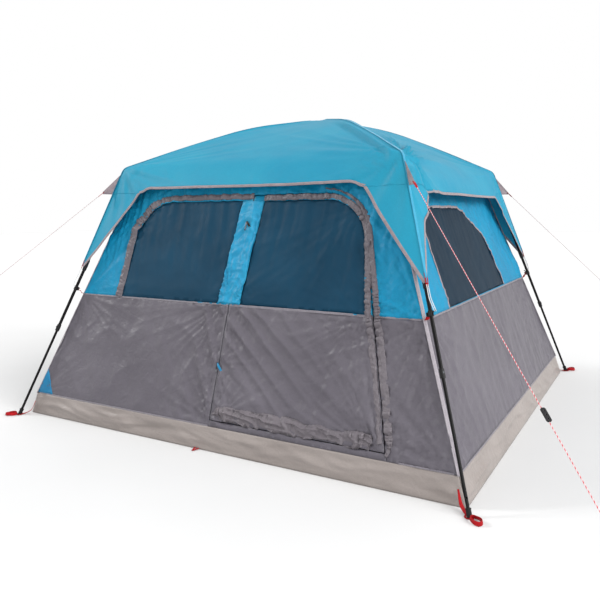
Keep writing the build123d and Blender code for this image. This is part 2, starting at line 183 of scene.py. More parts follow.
def inside(points, loop):
    """Which of the points lie inside a loop, both as arrays of (x, y)."""
    x, y = points.T
    found = np.zeros(len(points), bool)
    for (x0, y0), (x1, y1) in zip(loop, np.roll(loop, -1, 0)):
        if y0 != y1:
            found ^= ((y0 > y) != (y1 > y)) & (x < (x1 - x0) * (y - y0) / (y1 - y0) + x0)
    return found


def grid_faces(rows, columns, start=0, down_first=False, flipped=False):
    """Quads of a grid of points that are laid out row by row."""
    quads = []
    for row in range(rows):
        for column in range(columns):
            a = start + row * (columns + 1) + column
            below = a + columns + 1
            quad = (a, below, below + 1, a + 1) if down_first else (a, a + 1, below + 1, below)
            quads.append(quad[::-1] if flipped else quad)
    return quads


def wave(x, y, seed=0.0):
    """Soft noise from about -1 to 1."""
    return noise.noise(Vector((x, y, seed)))


def ridged(x, y, seed=0.0):
    """Noise from 0 to 1 with sharp crests, as folded cloth has."""
    return 1 - min(1.0, abs(wave(x, y, seed)) * 2.6)


# ---- folds in the walls ---------------------------------------------------------------------
def fan(across, z, centre, count, reach, depth, seed):
    """Folds that spread from a point where the cloth is pulled."""
    dx, dz = across - centre[0], z - centre[1]
    distance = math.hypot(dx, dz)
    if distance > reach * 3.5:
        return 0.0
    angle = math.atan2(dz, dx)
    crest = ridged(math.cos(angle) * count, math.sin(angle) * count, seed + distance * 1.3) ** 2.2
    return depth * (crest - 0.3) * smooth(distance / 0.09) * math.exp(-distance / reach)


FANS = {  # (across, z, folds, reach, depth) on each wall
    "front": (
        (0.0, 0.83, 7.5, 0.24, 0.020), (0.015, 0.475, 6.5, 0.14, 0.016),
        (0.02, 0.17, 6.5, 0.20, 0.020), (1.19, 0.80, 7.5, 0.34, 0.024),
        (-1.19, 0.80, 5.0, 0.28, 0.010), (1.42, 0.15, 7.0, 0.34, 0.024),
        (-1.42, 0.15, 4.5, 0.30, 0.008), (0.87, 0.80, 7.0, 0.26, 0.016),
        (1.05, 0.17, 7.5, 0.30, 0.022), (-0.80, 1.36, 8.0, 0.28, 0.018),
        (0.76, 1.36, 8.0, 0.34, 0.020), (0.12, 1.38, 5.0, 0.30, 0.006),
    ),
    "right": (
        (-1.18, 0.80, 7.0, 0.34, 0.018), (1.18, 0.80, 7.0, 0.34, 0.018),
        (-1.38, 0.16, 7.0, 0.34, 0.014), (1.38, 0.16, 7.0, 0.34, 0.014),
        (0.1, 0.30, 6.0, 0.24, 0.012), (0.35, 1.2, 7.0, 0.30, 0.016),
    ),
}
FANS["rear"] = FANS["front"][3:]
FANS["left"] = FANS["right"]
WALL_SEED = {"front": 0.0, "right": 13.0, "rear": 29.0, "left": 47.0}


def creases(x, y, seed, power, level):
    """Sharp folds whose mean height is near zero."""
    return ridged(x, y, seed) ** power - level


def drapes_to_zip(aside, across, z, seed):
    """Long folds below the waist that hang from the zip to one side."""
    steep, reach = (-1.05, 0.26) if aside < 0 else (-0.72, 0.45)
    drape = across * math.sin(steep) - z * math.cos(steep)
    run = across * math.cos(steep) + z * math.sin(steep)
    below = smooth((WAIST + 0.02 - z) / 0.06)
    crest = creases(drape * 12, run * 0.9 + 0.4 * wave(across * 3, z * 3, seed), seed + 31,
                    1.6, 0.3)
    return 0.026 * below * crest * math.exp(-abs(aside) / reach) * smooth(abs(aside) / 0.03)


def wall_folds(side, across, z):
    """How far a wall's cloth stands out of its plane."""
    seed = WALL_SEED[side]
    lift = 0.007 * wave(across * 1.6, z * 1.6, seed)
    lift += 0.0022 * wave(across * 7, z * 5, seed + 3)
    for i, (x, height, count, reach, depth) in enumerate(FANS[side]):
        lift += fan(across, z, (x, height), count, reach, depth, seed + i * 5.1)
    upright, gathered = (0.0022, 0.013) if side in ("front", "rear") else (0.0040, 0.010)
    lift += 0.0060 * creases(across * 4.2 + 0.6 * wave(z * 3, across * 2, seed), z * 3.4,
                             seed + 37, 1.4, 0.4)
    lift += upright * creases(across * 13 + wave(z * 2, across, seed), z * 0.9, seed + 7, 1.5, 0.4)
    gathers = smooth((z - 0.86) / 0.5) * gathered
    lift += gathers * creases(across * 21 + 1.3 * wave(z * 2.2, across, seed), z * 1.1, seed + 11,
                              1.8, 0.3)
    lift += 0.0032 * math.exp(-abs(z - WAIST) / 0.035) * wave(across * 30, z * 4, seed + 17)
    if side == "front":
        aside = across - zip_x(z)
        from_zip = abs(aside)
        lift += drapes_to_zip(aside, across, z, seed)
        drawn = math.exp(-from_zip / 0.075)
        lift += 0.0130 * drawn * creases(from_zip * 5, z * 15 + from_zip * 9, seed + 23, 1, 0.45)
        lift *= 0.2 + 0.8 * smooth(from_zip / 0.035)
    return lift * smooth((z - SKIRT_TOP) / 0.05 + 0.15)


# ---- finishes -------------------------------------------------------------------------------
WAVE_TURN = 0.314  # a Wave texture's scale times its pitch
BLACK, WHITE = (0, 0, 0, 1), (1, 1, 1, 1)


def srgb(red, green, blue):
    """Linear colour with alpha from 0 to 255 display values."""
    return tuple(((c / 255 + 0.055) / 1.055) ** 2.4 for c in (red, green, blue)) + (1.0,)


def grey(value):
    """Linear grey with alpha."""
    return (value, value, value, 1)


class Finish:
    """A material and its node tree, while it is being put together."""

    def __init__(self, name):
        self.material = bpy.data.materials.new(name)
        self.material.use_nodes = True
        self.tree = self.material.node_tree
        self.tree.nodes.clear()
        self.place = self.add("TexCoord").outputs["Object"]

    def add(self, kind, inputs=None, **settings):
        made = self.tree.nodes.new("ShaderNode" + kind)
        for key, value in settings.items():
            setattr(made, key, value)
        for key, value in (inputs or {}).items():
            if isinstance(value, bpy.types.Node):
                value = value.outputs[0]
            if isinstance(value, bpy.types.NodeSocket):
                self.tree.links.new(value, made.inputs[key])
            else:
                made.inputs[key].default_value = value
        return made

    def math(self, operation, *values):
        return self.add("Math", dict(enumerate(values)), operation=operation)

    def noise(self, scale, detail=4.0, distortion=0.0, vector=None, **settings):
        inputs = {"Vector": vector or self.place, "Scale": scale, "Detail": detail,
                  "Distortion": distortion}
        return self.add("TexNoise", inputs, **settings).outputs[0]

    def ramp(self, factor, *stops):
        made = self.add("ValToRGB", {0: factor})
        elements = made.color_ramp.elements
        for element, (position, colour) in zip(elements, stops):
            element.position = position
            element.color = colour
        return made.outputs[0]

    def mixed(self, factor, a, b, blend="MIX"):
        return self.add("MixRGB", {0: factor, 1: a, 2: b}, blend_type=blend).outputs[0]

    def spread(self, value, low, high):
        return self.add("MapRange", {"Value": value, "To Min": low, "To Max": high})

    def flat_parts(self):
        """Distance along and place across a piece, from its flat coordinates."""
        parts = self.add("SeparateXYZ", {0: self.add("UVMap")})
        return parts.outputs["X"], parts.outputs["Y"]

    def threads(self, pitch, axis, distortion=0.0):
        inputs = {"Vector": self.add("UVMap"), "Scale": WAVE_TURN / pitch, "Distortion": distortion}
        return self.add("TexWave", inputs, bands_direction=axis).outputs["Fac"]

    def weave(self, pitch):
        """Height of crossing threads at a pitch, from the piece's flat coordinates in metres."""
        return self.math("MAXIMUM", self.threads(pitch, "X"), self.threads(pitch, "Y"))

    def bump(self, height, strength, distance, normal=None):
        inputs = {"Height": height, "Strength": strength, "Distance": distance}
        if normal:
            inputs["Normal"] = normal
        return self.add("Bump", inputs).outputs[0]

    def skin(self, colour, rough, normal, **more):
        """Principled surface; in more, _ stands for a space in an input's name."""
        named = {key.replace("_", " "): value for key, value in more.items()}
        return self.add("BsdfPrincipled", {
            "Base Color": colour, "Roughness": rough, "Normal": normal, **named,
        })

    def done(self, shader):
        self.add("OutputMaterial", {"Surface": shader})
        return self.material


def cloth(name, colour, shade, glow=0.25, rough=0.55, crinkle=0.5, pitch=0.0022,
          streak=(1, 1, 1)):
    """Coated polyester: fine weave, crinkles, faint mottling, and light that comes through it."""
    f = Finish(name)
    slow = f.noise(2.2, 6.0, 0.4)
    tone = f.ramp(slow, (0.25, srgb(*shade)), (0.72, srgb(*colour)))
    fleck = f.ramp(f.noise(160.0, 2.0), (0.3, grey(0.93)), (0.7, WHITE))
    tinted = f.mixed(1.0, tone, fleck, "MULTIPLY")
    streaked = f.add("Mapping", {"Vector": f.place, "Scale": streak})
    folds = f.noise(6.5, 7.0, 1.1, streaked, noise_type="RIDGED_MULTIFRACTAL")
    depth = min(1.0, crinkle * 0.6)
    normal = f.bump(f.weave(pitch), 0.25, 0.0002)
    normal = f.bump(f.noise(26.0, 4.0, 0.8), depth, 0.006, normal)
    normal = f.bump(folds, depth, 0.010, normal)
    skin = f.skin(tinted, f.spread(slow, rough - 0.06, rough + 0.08), normal, Sheen_Weight=0.05,
                  Sheen_Roughness=0.4, Specular_IOR_Level=0.35)
    through = f.add("BsdfTranslucent", {"Color": tinted, "Normal": normal})
    return f.done(f.add("MixShader", {0: glow, 1: skin, 2: through}))


def mesh_cloth(name, colour, shade, cover):
    """Fine net: dark yarn with light passing between its threads."""
    f = Finish(name)
    tone = f.ramp(f.noise(3.0, 5.0, 0.5), (0.3, srgb(*shade)), (0.75, srgb(*colour)))
    net = f.weave(0.0014)
    folds = f.noise(7.0, 6.0, 1.2, noise_type="RIDGED_MULTIFRACTAL")
    normal = f.bump(folds, 0.16, 0.005, f.bump(net, 0.3, 0.0002))
    yarn = f.skin(tone, 0.55, normal, Specular_IOR_Level=0.1)
    solid = f.spread(net, cover - 0.12, min(1.0, cover + 0.12))
    return f.done(f.add("MixShader", {0: solid, 1: f.add("BsdfTransparent"), 2: yarn}))


def tape(name, colour, shade, stitch, pitch=0.0016, stitched=True, sheen=0.25, gloss=0.5):
    """Binding or webbing: ribs across it and a dashed row of thread near each edge."""
    f = Finish(name)
    tone = f.ramp(f.noise(30.0, 4.0, 0.3), (0.3, srgb(*shade)), (0.7, srgb(*colour)))
    height = f.threads(pitch, "X", 0.4)
    if stitched:
        along, across = f.flat_parts()
        off_centre = f.math("ABSOLUTE", f.math("SUBTRACT", across, 0.5))
        row = f.math("COMPARE", off_centre, 0.33, 0.045)
        dash = f.math("FRACT", f.math("MULTIPLY", along, 160.0))
        thread = f.math("MULTIPLY", row, f.math("LESS_THAN", dash, 0.62))
        tone = f.mixed(thread, tone, srgb(*stitch))
        height = f.math("ADD", height, thread)
    return f.done(f.skin(tone, 0.62, f.bump(height, 0.6, 0.0006), Sheen_Weight=sheen,
                         Specular_IOR_Level=gloss))


def twisted_cord(name, braid_colour, tracer_colour):
    """Guy line: pale braid with a tracer that winds round it."""
    f = Finish(name)
    along, across = f.flat_parts()
    turns = f.math("ADD", f.math("MULTIPLY", along, 58.0), across)
    tracer = f.math("LESS_THAN", f.math("FRACT", turns), 0.5)
    plait = f.math("SUBTRACT", f.math("MULTIPLY", along, 420.0), across)
    braid = f.math("SINE", f.math("MULTIPLY", plait, 6.283))
    tone = f.mixed(tracer, srgb(*braid_colour), srgb(*tracer_colour))
    mottle = f.ramp(f.noise(300.0), (0.3, grey(0.8)), (0.7, WHITE))
    return f.done(f.skin(f.mixed(1.0, tone, mottle, "MULTIPLY"), 0.6, f.bump(braid, 0.5, 0.0004),
                         Sheen_Weight=0.2))


def hard(name, colour, shade, rough=0.4, metal=0.0, grain=90.0, bump=0.15, wear=None, gloss=0.5):
    """Moulded plastic, rubber or coated metal with grain, and worn edges where wear is given."""
    f = Finish(name)
    cloudy = f.noise(14.0, 5.0, 0.3)
    tone = f.ramp(cloudy, (0.3, srgb(*shade)), (0.7, srgb(*colour)))
    if wear:
        edge = f.ramp(f.add("NewGeometry").outputs["Pointiness"], (0.52, BLACK), (0.60, WHITE))
        patches = f.ramp(f.noise(60.0), (0.45, BLACK), (0.6, WHITE))
        tone = f.mixed(f.math("MULTIPLY", edge, patches), tone, srgb(*wear))
    return f.done(f.skin(tone, f.spread(cloudy, rough - 0.08, rough + 0.1),
                         f.bump(f.noise(grain * 8, 3.0), bump, 0.0006),
                         Metallic=metal, Specular_IOR_Level=gloss))


FLY_BLUE = cloth("fly_blue", (34, 162, 192), (18, 148, 182), 0.36, 0.5, 0.35)
WALL_BLUE = cloth("wall_blue", (24, 168, 208), (10, 148, 192), 0.46, 0.5, 1.0)
STRIP_BLUE = cloth("strip_blue", (48, 172, 210), (22, 144, 190), 0.35, 0.44, 1.8)
WALL_GREY = cloth("wall_grey", (92, 88, 96), (79, 75, 83), 0.06, 0.44, 1.0)
FLAP_GREY = cloth("flap_grey", (104, 98, 103), (86, 81, 87), 0.06, 0.44, 1.2)
TUB_BEIGE = cloth("tub_beige", (144, 136, 132), (126, 118, 114), 0.04, 0.40, 1.1, pitch=0.003,
                  streak=(0.35, 0.35, 2.0))
PATCH_BLUE = cloth("patch_blue", (16, 120, 162), (10, 104, 146), 0.1, 0.5, 0.6)
WINDOW_NAVY = mesh_cloth("window_navy", (18, 58, 80), (12, 48, 68), 1.04)
# The side walls' nets use a darker copy of the window net: painted shade that darkens them against
# the key lamp falling on those walls.
SIDE_NAVY_PAINTED_SHADE = mesh_cloth("side_window_navy_painted_shade", (10, 36, 52), (6, 29, 44), 1.04)
CEILING_MESH = mesh_cloth("ceiling_mesh", (60, 92, 112), (46, 76, 96), 0.75)
BINDING = tape("binding_taupe", (128, 115, 119), (108, 97, 102), (146, 134, 137))
SEAM_BLUE = tape("seam_blue", (26, 146, 178), (14, 130, 164), (34, 150, 182))
SEAM_PALE = tape("seam_pale", (150, 144, 150), (130, 124, 131), (168, 162, 168))
SEAM_GREY = tape("seam_grey", (108, 103, 111), (94, 90, 98), (130, 124, 132))
WEBBING_RED = tape("webbing_red", (158, 4, 16), (126, 3, 12), (166, 22, 30), pitch=0.0022,
                   sheen=0.02, gloss=0.15)
ELASTIC = tape("elastic_grey", (206, 206, 206), (184, 184, 186), None, stitched=False)
ZIP_TAPE = tape("zip_tape", (90, 86, 94), (78, 74, 82), (96, 92, 100))
CORD_RED = twisted_cord("guy_cord_red", (214, 186, 188), (190, 22, 38))
CORD_PALE = twisted_cord("guy_cord_pale", (196, 190, 190), (168, 132, 134))
STEEL = hard("coated_steel", (9, 9, 10), (5, 5, 6), 0.38, bump=0.1, gloss=0.14)
BLACK_PLASTIC = hard("black_plastic", (18, 18, 20), (10, 10, 11), 0.5, bump=0.3, gloss=0.25)
RUBBER = hard("boot_rubber", (20, 20, 20), (14, 14, 15), 0.72, grain=60.0, bump=0.5, gloss=0.25)
BUTTON_STEEL = hard("button_steel", (74, 76, 80), (58, 60, 64), 0.5, metal=0.6, bump=0.1)
ZIP_COIL = hard("zip_coil", (78, 76, 84), (62, 60, 68), 0.45, gloss=0.3)
ZIP_METAL = hard("zip_metal", (52, 56, 62), (36, 40, 46), 0.35, metal=0.6, wear=(150, 152, 156))


def add_object(name, data):
    made = bpy.data.objects.new(name, data)
    bpy.context.scene.collection.objects.link(made)
    return made


def piece(name, vertices, faces, finish, flat=None):
    """Mesh object from points; flat gives each point's place on the unrolled cloth, in metres."""
    mesh = bpy.data.meshes.new(name)
    mesh.from_pydata([tuple(v) for v in vertices], [], faces)
    if flat is not None:
        layer = mesh.uv_layers.new(name="UVMap")
        order = np.zeros(len(mesh.loops), np.int32)
        mesh.loops.foreach_get("vertex_index", order)
        layer.data.foreach_set("uv", np.array(flat, np.float32)[order].ravel())
    mesh.shade_smooth()
    mesh.materials.append(finish)
    return add_object(name, mesh)


def thicken(made, thickness):
    """Gives a sheet its cloth's thickness."""
    solid = made.modifiers.new("cloth_thickness", "SOLIDIFY")
    solid.thickness = thickness
    solid.offset = 0.0
    solid.use_rim = True


def fasten(made, slot, *stands_for, body="shelter", folds=True):
    """Rides a piece on its body and hides the frame parts it stands for; where folds is set, it
    gets a mesh of its own. slot is not used.
    """
    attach(made, body)
    if stands_for:
        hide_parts(*stands_for)
    if folds:
        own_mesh(made)


def follow_cloth(node_name, body, finish, slot):
    """A frame piece that hangs on cloth, as a copy with the given finish that rides the given body
    in the original's place.
    """
    node = nodes[node_name]
    made = add_object(f"{node_name}_on_cloth", node.data.copy())
    made.matrix_world = node.matrix_world.copy()
    made.data.materials.clear()
    made.data.materials.append(finish)
    fasten(made, slot, node_name, body=body)
    return made


def weld(made, distance=1e-4):
    """Joins points that lie together, so that a sheet is one surface."""
    work = bmesh.new()
    work.from_mesh(made.data)
    bmesh.ops.remove_doubles(work, verts=work.verts, dist=distance)
    bmesh.ops.dissolve_degenerate(work, edges=work.edges, dist=distance * 0.1)
    bmesh.ops.recalc_face_normals(work, faces=work.faces)
    work.to_mesh(made.data)
    work.free()
    made.data.shade_smooth()


def join(name, parts):
    """One object out of several."""
    bpy.ops.object.select_all(action="DESELECT")
    for part in parts:
        part.select_set(True)
    bpy.context.view_layer.objects.active = parts[0]
    bpy.ops.object.join()
    parts[0].name = parts[0].data.name = name
    return parts[0]


def panel(name, side, edge, finish, holes=(), step=0.02, lift=0.0, extra=None, calm=1.0):
    """Cloth cut to an outline on a wall, less its holes, with that wall's folds."""
    loops = [resampled(loop, step) for loop in (edge, *holes)]
    arrays = [np.array([tuple(p) for p in loop]) for loop in loops]
    low, high = arrays[0].min(0), arrays[0].max(0)

    def on_cloth(points):
        keep = inside(points, arrays[0])
        for hole in arrays[1:]:
            keep &= ~inside(points, hole)
        return keep

    grid = []
    for row in range(int((high[1] - low[1]) / (step * 0.87)) + 1):
        y = low[1] + (row + 0.5) * step * 0.87
        for column in range(int((high[0] - low[0]) / step) + 2):
            x = low[0] + (column + 0.5 * (row % 2)) * step
            jitter = noise.cell_vector(Vector((row * 1.37, column * 2.11, 3.0)))
            grid.append((x + (jitter.x - 0.5) * step * 0.25, y + (jitter.y - 0.5) * step * 0.25))
    grid = np.array(grid)
    edge_points = [p for loop in loops for p in loop]
    tree = kdtree.KDTree(len(edge_points))
    for i, p in enumerate(edge_points):
        tree.insert((p.x, p.y, 0), i)
    tree.balance()
    inner = [Vector(p) for p in grid[on_cloth(grid)] if tree.find((*p, 0))[2] > step * 0.6]
    edges, start = [], 0
    for count in map(len, loops):
        edges += [(start + i, start + (i + 1) % count) for i in range(count)]
        start += count
    points, _, triangles, *_ = delaunay_2d_cdt(edge_points + inner, edges, [], 0, 1e-5)
    flat, triangles = np.array([tuple(p) for p in points]), np.array(triangles)
    faces = triangles[on_cloth(flat[triangles].mean(1))]
    if side in ("rear", "left"):
        faces = faces[:, ::-1]
    vertices = []
    for x, z in flat:
        folds = lift + calm * wall_folds(side, x, z) + (extra(x, z) if extra else 0.0)
        vertices.append(on_wall(side, x, z, folds))
    made = piece(name, vertices, faces.tolist(), finish, flat)
    (ax, ay), (bx, by) = ((flat[faces[:, k]] - flat[faces[:, 0]]).T for k in (1, 2))
    made["cut_area"] = float(np.abs(ax * by - ay * bx).sum() / 2)
    made["cut_size"] = [float(high[0] - low[0]), float(high[1] - low[1])]
    return made


def frames_along(path, normals):
    """Each point of a path, its sideways and outward directions, and its distance along."""
    out, travelled = [], 0.0
    for i, here in enumerate(path):
        before, after = path[max(0, i - 1)], path[min(len(path) - 1, i + 1)]
        if i:
            travelled += (here - before).length
        tangent = (after - before).normalized()
        normal = normals[i] if isinstance(normals, list) else normals
        sideways = tangent.cross(normal).normalized()
        out.append((here, sideways, sideways.cross(tangent).normalized(), travelled))
    return out


def puffed(count):
    """Section of a bunched band, round on top."""
    turns = (math.pi * i / count for i in range(count + 1))
    return tuple((-0.5 * math.cos(turn), math.sin(turn) ** 0.7) for turn in turns) + UNDERSIDE


# sections as (across, up), from -0.5 to 0.5 and from 0 to 1
UNDERSIDE = ((0.25, -0.05), (0.0, -0.08), (-0.25, -0.05))
BAND = ((-0.5, 0.2), (-0.45, 0.8), (-0.3, 1.0), (0.3, 1.0), (0.45, 0.8), (0.5, 0.2), (0.4, -0.1),
        (-0.4, -0.1))
PUFF, PUFF_FINE = puffed(12), puffed(24)
HANGING = tuple(
    (0.5 - t, math.sin(math.pi * t ** 1.5) ** 0.8 * (0.55 + 0.45 * t))
    for t in (i / 26 for i in range(26, -1, -1))
) + UNDERSIDE


def band(name, path, normals, width, height, finish, section=BAND, gather=0.0, closed=False,
         seed=0.0):
    """Closed band along a path; width and height may be functions of the distance along it."""
    vertices, flat = [], []
    for here, sideways, outward, travelled in frames_along(path, normals):
        wide = width(travelled) if callable(width) else width
        tall = height(travelled) if callable(height) else height
        for across, up in section:
            ripple = 0.0
            if gather:
                bunched = ridged(travelled * 42, across * 1.4, seed) - 0.5
                bunched += 0.7 * wave(travelled * 17, across * 2.5, seed + 5)
                ripple = gather * max(0.0, up) * bunched
            vertices.append(here + sideways * across * wide * (1 + 0.6 * ripple)
                            + outward * tall * (up + ripple))
            flat.append((travelled, across + 0.5))
    count, rings = len(section), len(path)
    faces = []
    for i in range(rings - 1 + closed):
        a, b = i * count, ((i + 1) % rings) * count
        faces += [(a + k, a + (k + 1) % count, b + (k + 1) % count, b + k) for k in range(count)]
    if not closed:
        last = (rings - 1) * count
        faces += [tuple(range(count))[::-1], tuple(range(last, last + count))]
    return piece(name, vertices, faces, finish, flat)


def tube(name, path, radius, finish, sides=10, capped=True):
    """Round cord along a path, with its flat coordinates laid out for the braid."""
    steep = abs((path[-1] - path[0]).normalized().z) > 0.95
    up = Vector((1, 0, 0)) if steep else Vector((0, 0, 1))
    vertices, flat = [], []
    for i, (here, sideways, outward, travelled) in enumerate(frames_along(path, up)):
        wide = radius(i / (len(path) - 1)) if callable(radius) else radius
        for k in range(sides + 1):
            angle = 2 * math.pi * k / sides
            spoke = sideways * math.cos(angle) + outward * math.sin(angle)
            vertices.append(here + spoke * wide)
            flat.append((travelled, k / sides))
    faces = grid_faces(len(path) - 1, sides, down_first=True)
    if capped:
        last = (len(path) - 1) * (sides + 1)
        faces += [tuple(range(sides)), tuple(range(last, last + sides))[::-1]]
    made = piece(name, vertices, faces, finish, flat)
    weld(made, 1e-6)
    return made


# ---- camera ---------------------------------------------------------------------------------
CAMERA_PLACE = Vector((2.1923, -4.1333, 1.3161))
CAMERA_TURN, CAMERA_DIP, CAMERA_ROLL = (math.radians(angle) for angle in (30.00, 7.63, -0.45))
SENSOR_WIDTH, FOCAL_LENGTH = 36, 38.11  # mm


def make_camera():
    camera = add_object("camera", bpy.data.cameras.new("camera"))
    level = Vector((math.cos(CAMERA_TURN), math.sin(CAMERA_TURN), 0))
    ahead = Vector((-level.y, level.x, 0))
    forward = ahead * math.cos(CAMERA_DIP) - Vector((0, 0, math.sin(CAMERA_DIP)))
    right = Quaternion(forward, -CAMERA_ROLL) @ level
    turned = Matrix((right, right.cross(forward), -forward)).transposed().to_4x4()
    camera.matrix_world = Matrix.Translation(CAMERA_PLACE) @ turned
    camera.data.sensor_width = SENSOR_WIDTH
    camera.data.lens = FOCAL_LENGTH
    camera.data.clip_end = 100
    bpy.context.scene.camera = camera


make_camera()


# ---- guy lines ------------------------------------------------------------------------------
def spline_points(route):
    """The points of a smooth curve through its route, as Blender draws it."""
    data = bpy.data.curves.new("route", "CURVE")
    data.dimensions = "3D"
    data.resolution_u = 24
    spline = data.splines.new("NURBS")
    spline.points.add(len(route) - 1)
    for point, place in zip(spline.points, route):
        point.co = (*place, 1)
    spline.order_u = 3
    spline.use_endpoint_u = True
    curve = add_object("route", data)
    line = bpy.data.meshes.new_from_object(curve)
    points = [v.co.copy() for v in line.vertices]
    bpy.data.objects.remove(curve)
    return points


def turns_of(count, turn=2 * math.pi):
    """Angles from 0 to a turn in equal steps."""
    return [turn * i / count for i in range(count + 1)]


def knot(name, centre, along, radius, finish):
    """Overhand knot: a trefoil of the same cord, drawn tight."""
    seat = along.to_track_quat("Z", "Y")
    path = [
        centre + seat @ (Vector((
            math.sin(t) + 2 * math.sin(2 * t), math.cos(t) - 2 * math.cos(2 * t),
            -1.4 * math.sin(3 * t),
        )) * radius * 0.30)
        for t in turns_of(60)
    ]
    return tube(name, path, GUY_DIAMETER * 0.42, finish, 8)


def make_guy_line(corner, share):
    finish = CORD_RED if corner == "front_right" else CORD_PALE
    start, peg = at_corner(*GUY_START, corner), at_corner(*GUY_PEG, corner)
    along = (peg - start).normalized()
    end = start.lerp(peg, share)
    near = 6 * GUY_DIAMETER
    sagging = start.lerp(end, 0.5) - Vector((0, 0, 0.002))
    route = [start, start + along * near, sagging, end - along * near, end]
    centre_line = resampled(spline_points(route), 0.004, closed=False)
    line = tube(f"guy_cord_{corner}", centre_line, GUY_DIAMETER / 2, finish)
    fasten(line, "guy_cord", f"guy_line_{corner}")
    tied = knot(f"guy_knot_{corner}", end, along, 0.0052, finish)
    fasten(tied, "guy_cord")
    across = along.cross(Vector((0, 0, 1))).normalized().cross(along)
    loop_path = [end + along * (0.012 - 0.012 * math.cos(a)) + across * 0.009 * math.sin(a)
                 for a in turns_of(40)]
    loop = tube(f"guy_loop_{corner}", loop_path, GUY_DIAMETER / 2, finish)
    fasten(loop, "guy_cord")
    runner = follow_cloth(f"line_tensioner_{corner}", f"tensioner_{corner}", BLACK_PLASTIC,
                          "black_plastic")


for guyed_corner, guy_share in GUY_SHARES.items():
    make_guy_line(guyed_corner, guy_share)

# ---- fly ------------------------------------------------------------------------------------
ridge_lengths = [0.0]
for (r0, z0), (r1, z1) in zip(FLY_RIDGE, FLY_RIDGE[1:]):
    ridge_lengths.append(ridge_lengths[-1] + math.hypot(r1 - r0, z1 - z0))
SHOULDER_AT, TIP_AT = ridge_lengths[3:]
side_slope = (FLY_RIDGE[3][1] - FLY_RIDGE[4][1]) / (TIP_AT - SHOULDER_AT)
EAVE_AT = SHOULDER_AT + (FLY_RIDGE[3][1] - EAVE_Z) / side_slope
RIDGE_SOFT = 0.028  # over how much the ridge's corners are rounded

SIDES = (("front_left", "front_right"), ("front_right", "rear_right"),
         ("rear_right", "rear_left"), ("rear_left", "front_left"))
EAVE_BOW = (0.032, -0.034, 0.032, -0.034)
CORNER_COLUMNS, EAVE_COLUMNS, ROOF_ROWS, EAVE_ROWS, FLAP_ROWS = 14, 64, 70, 10, 26


def ridge(distance):
    """(radius, z) on the ridge at a distance from the peak; before the peak it mirrors."""
    flipped = distance < 0
    distance = abs(distance)
    i = max(k for k in range(len(FLY_RIDGE) - 1) if distance >= ridge_lengths[k])
    share = (distance - ridge_lengths[i]) / (ridge_lengths[i + 1] - ridge_lengths[i])
    (r0, z0), (r1, z1) = FLY_RIDGE[i], FLY_RIDGE[i + 1]
    radius = lerp(r0, r1, share)
    return (-radius if flipped else radius), lerp(z0, z1, share)


def softened(distance, width=RIDGE_SOFT):
    """The ridge's line with its corners rounded over a width."""
    if abs(distance) < SHOULDER_AT:
        width = max(width, 0.15 * smooth((SHOULDER_AT - abs(distance) - 0.12) / 0.3))
    samples = [ridge(distance + width * k / 5) for k in range(-5, 6)]
    return sum(r for r, _ in samples) / 11, sum(z for _, z in samples) / 11


def side_frame(left, right, distance):
    """Ends of one side's line at a distance from the peak."""
    place = softened(distance)
    return at_corner(*place, left), at_corner(*place, right)


def fly_point(left, right, share, distance):
    """Point on one side of the fly: share runs from its left ridge to its right one."""
    middle = 4 * share * (1 - share)
    place = softened(distance, lerp(RIDGE_SOFT, 0.17, smooth(middle * 1.3)))
    a, b = at_corner(*place, left), at_corner(*place, right)
    inward = -(a + b).normalized()
    inward.z = 0
    near_eave = smooth((distance - SHOULDER_AT + 0.1) / 0.4)
    hang = 0.022 * middle * smooth(distance / 0.5) * (1 - near_eave)
    return a.lerp(b, share) + inward * hang * 0.6 + Vector((0, 0, -hang))


def fly_folds(side_index, share, distance, width):
    """How far the fly stands out of its smooth surface."""
    seed = 61.0 + side_index * 9
    along = share * width
    lift = 0.010 * wave(along * 0.9, distance * 1.1, seed) * smooth(distance / 0.4)
    lift += 0.0015 * wave(along * 8, distance * 6, seed + 2)
    for end, amount in ((0.0, 3.4 if side_index == 1 else 0.8), (1.0, 1.0)):
        dx, dz = (share - end) * width, distance - SHOULDER_AT
        away = math.hypot(dx, dz)
        x, y = (3.6 * part / max(away, 1e-12) for part in (dx, dz))
        crest = ridged(x, y, seed + 20 * end + away * 0.6) ** 1.3 - 0.42
        lift += amount * 0.020 * crest * smooth(away / 0.12) * math.exp(-away / 0.42)
    if side_index == 0:  # a fold beside the front right ridge
        from_ridge = (1 - share) * width
        run = smooth((distance - 0.45) / 0.3) * (1 - smooth((distance - 1.36) / 0.1))
        lift += 0.014 * run * math.exp(-((from_ridge - 0.055) / 0.020) ** 2)
        lift -= 0.008 * run * math.exp(-((from_ridge - 0.098) / 0.026) ** 2)
    if side_index == 1:
        run = smooth((distance - 0.6) / 0.3) * (1 - smooth((distance - 1.45) / 0.2))
        off_fold = along - 0.16 - (1.4 - distance) * 0.25
        lift += 0.012 * run * math.exp(-(off_fold / 0.045) ** 2)
    at_eave = smooth((distance - EAVE_AT + 0.10) / 0.1)
    return lift + 0.002 * at_eave * wave(along * 22, distance * 3, seed + 4)


def eave_corner_share(left, right):
    """Where along the eave the flap's inner edge starts, as a share, and the eave's length."""
    a, b = side_frame(left, right, EAVE_AT)
    width = (b - a).length
    return (width / 2 - EAVE_HALF) / width, width


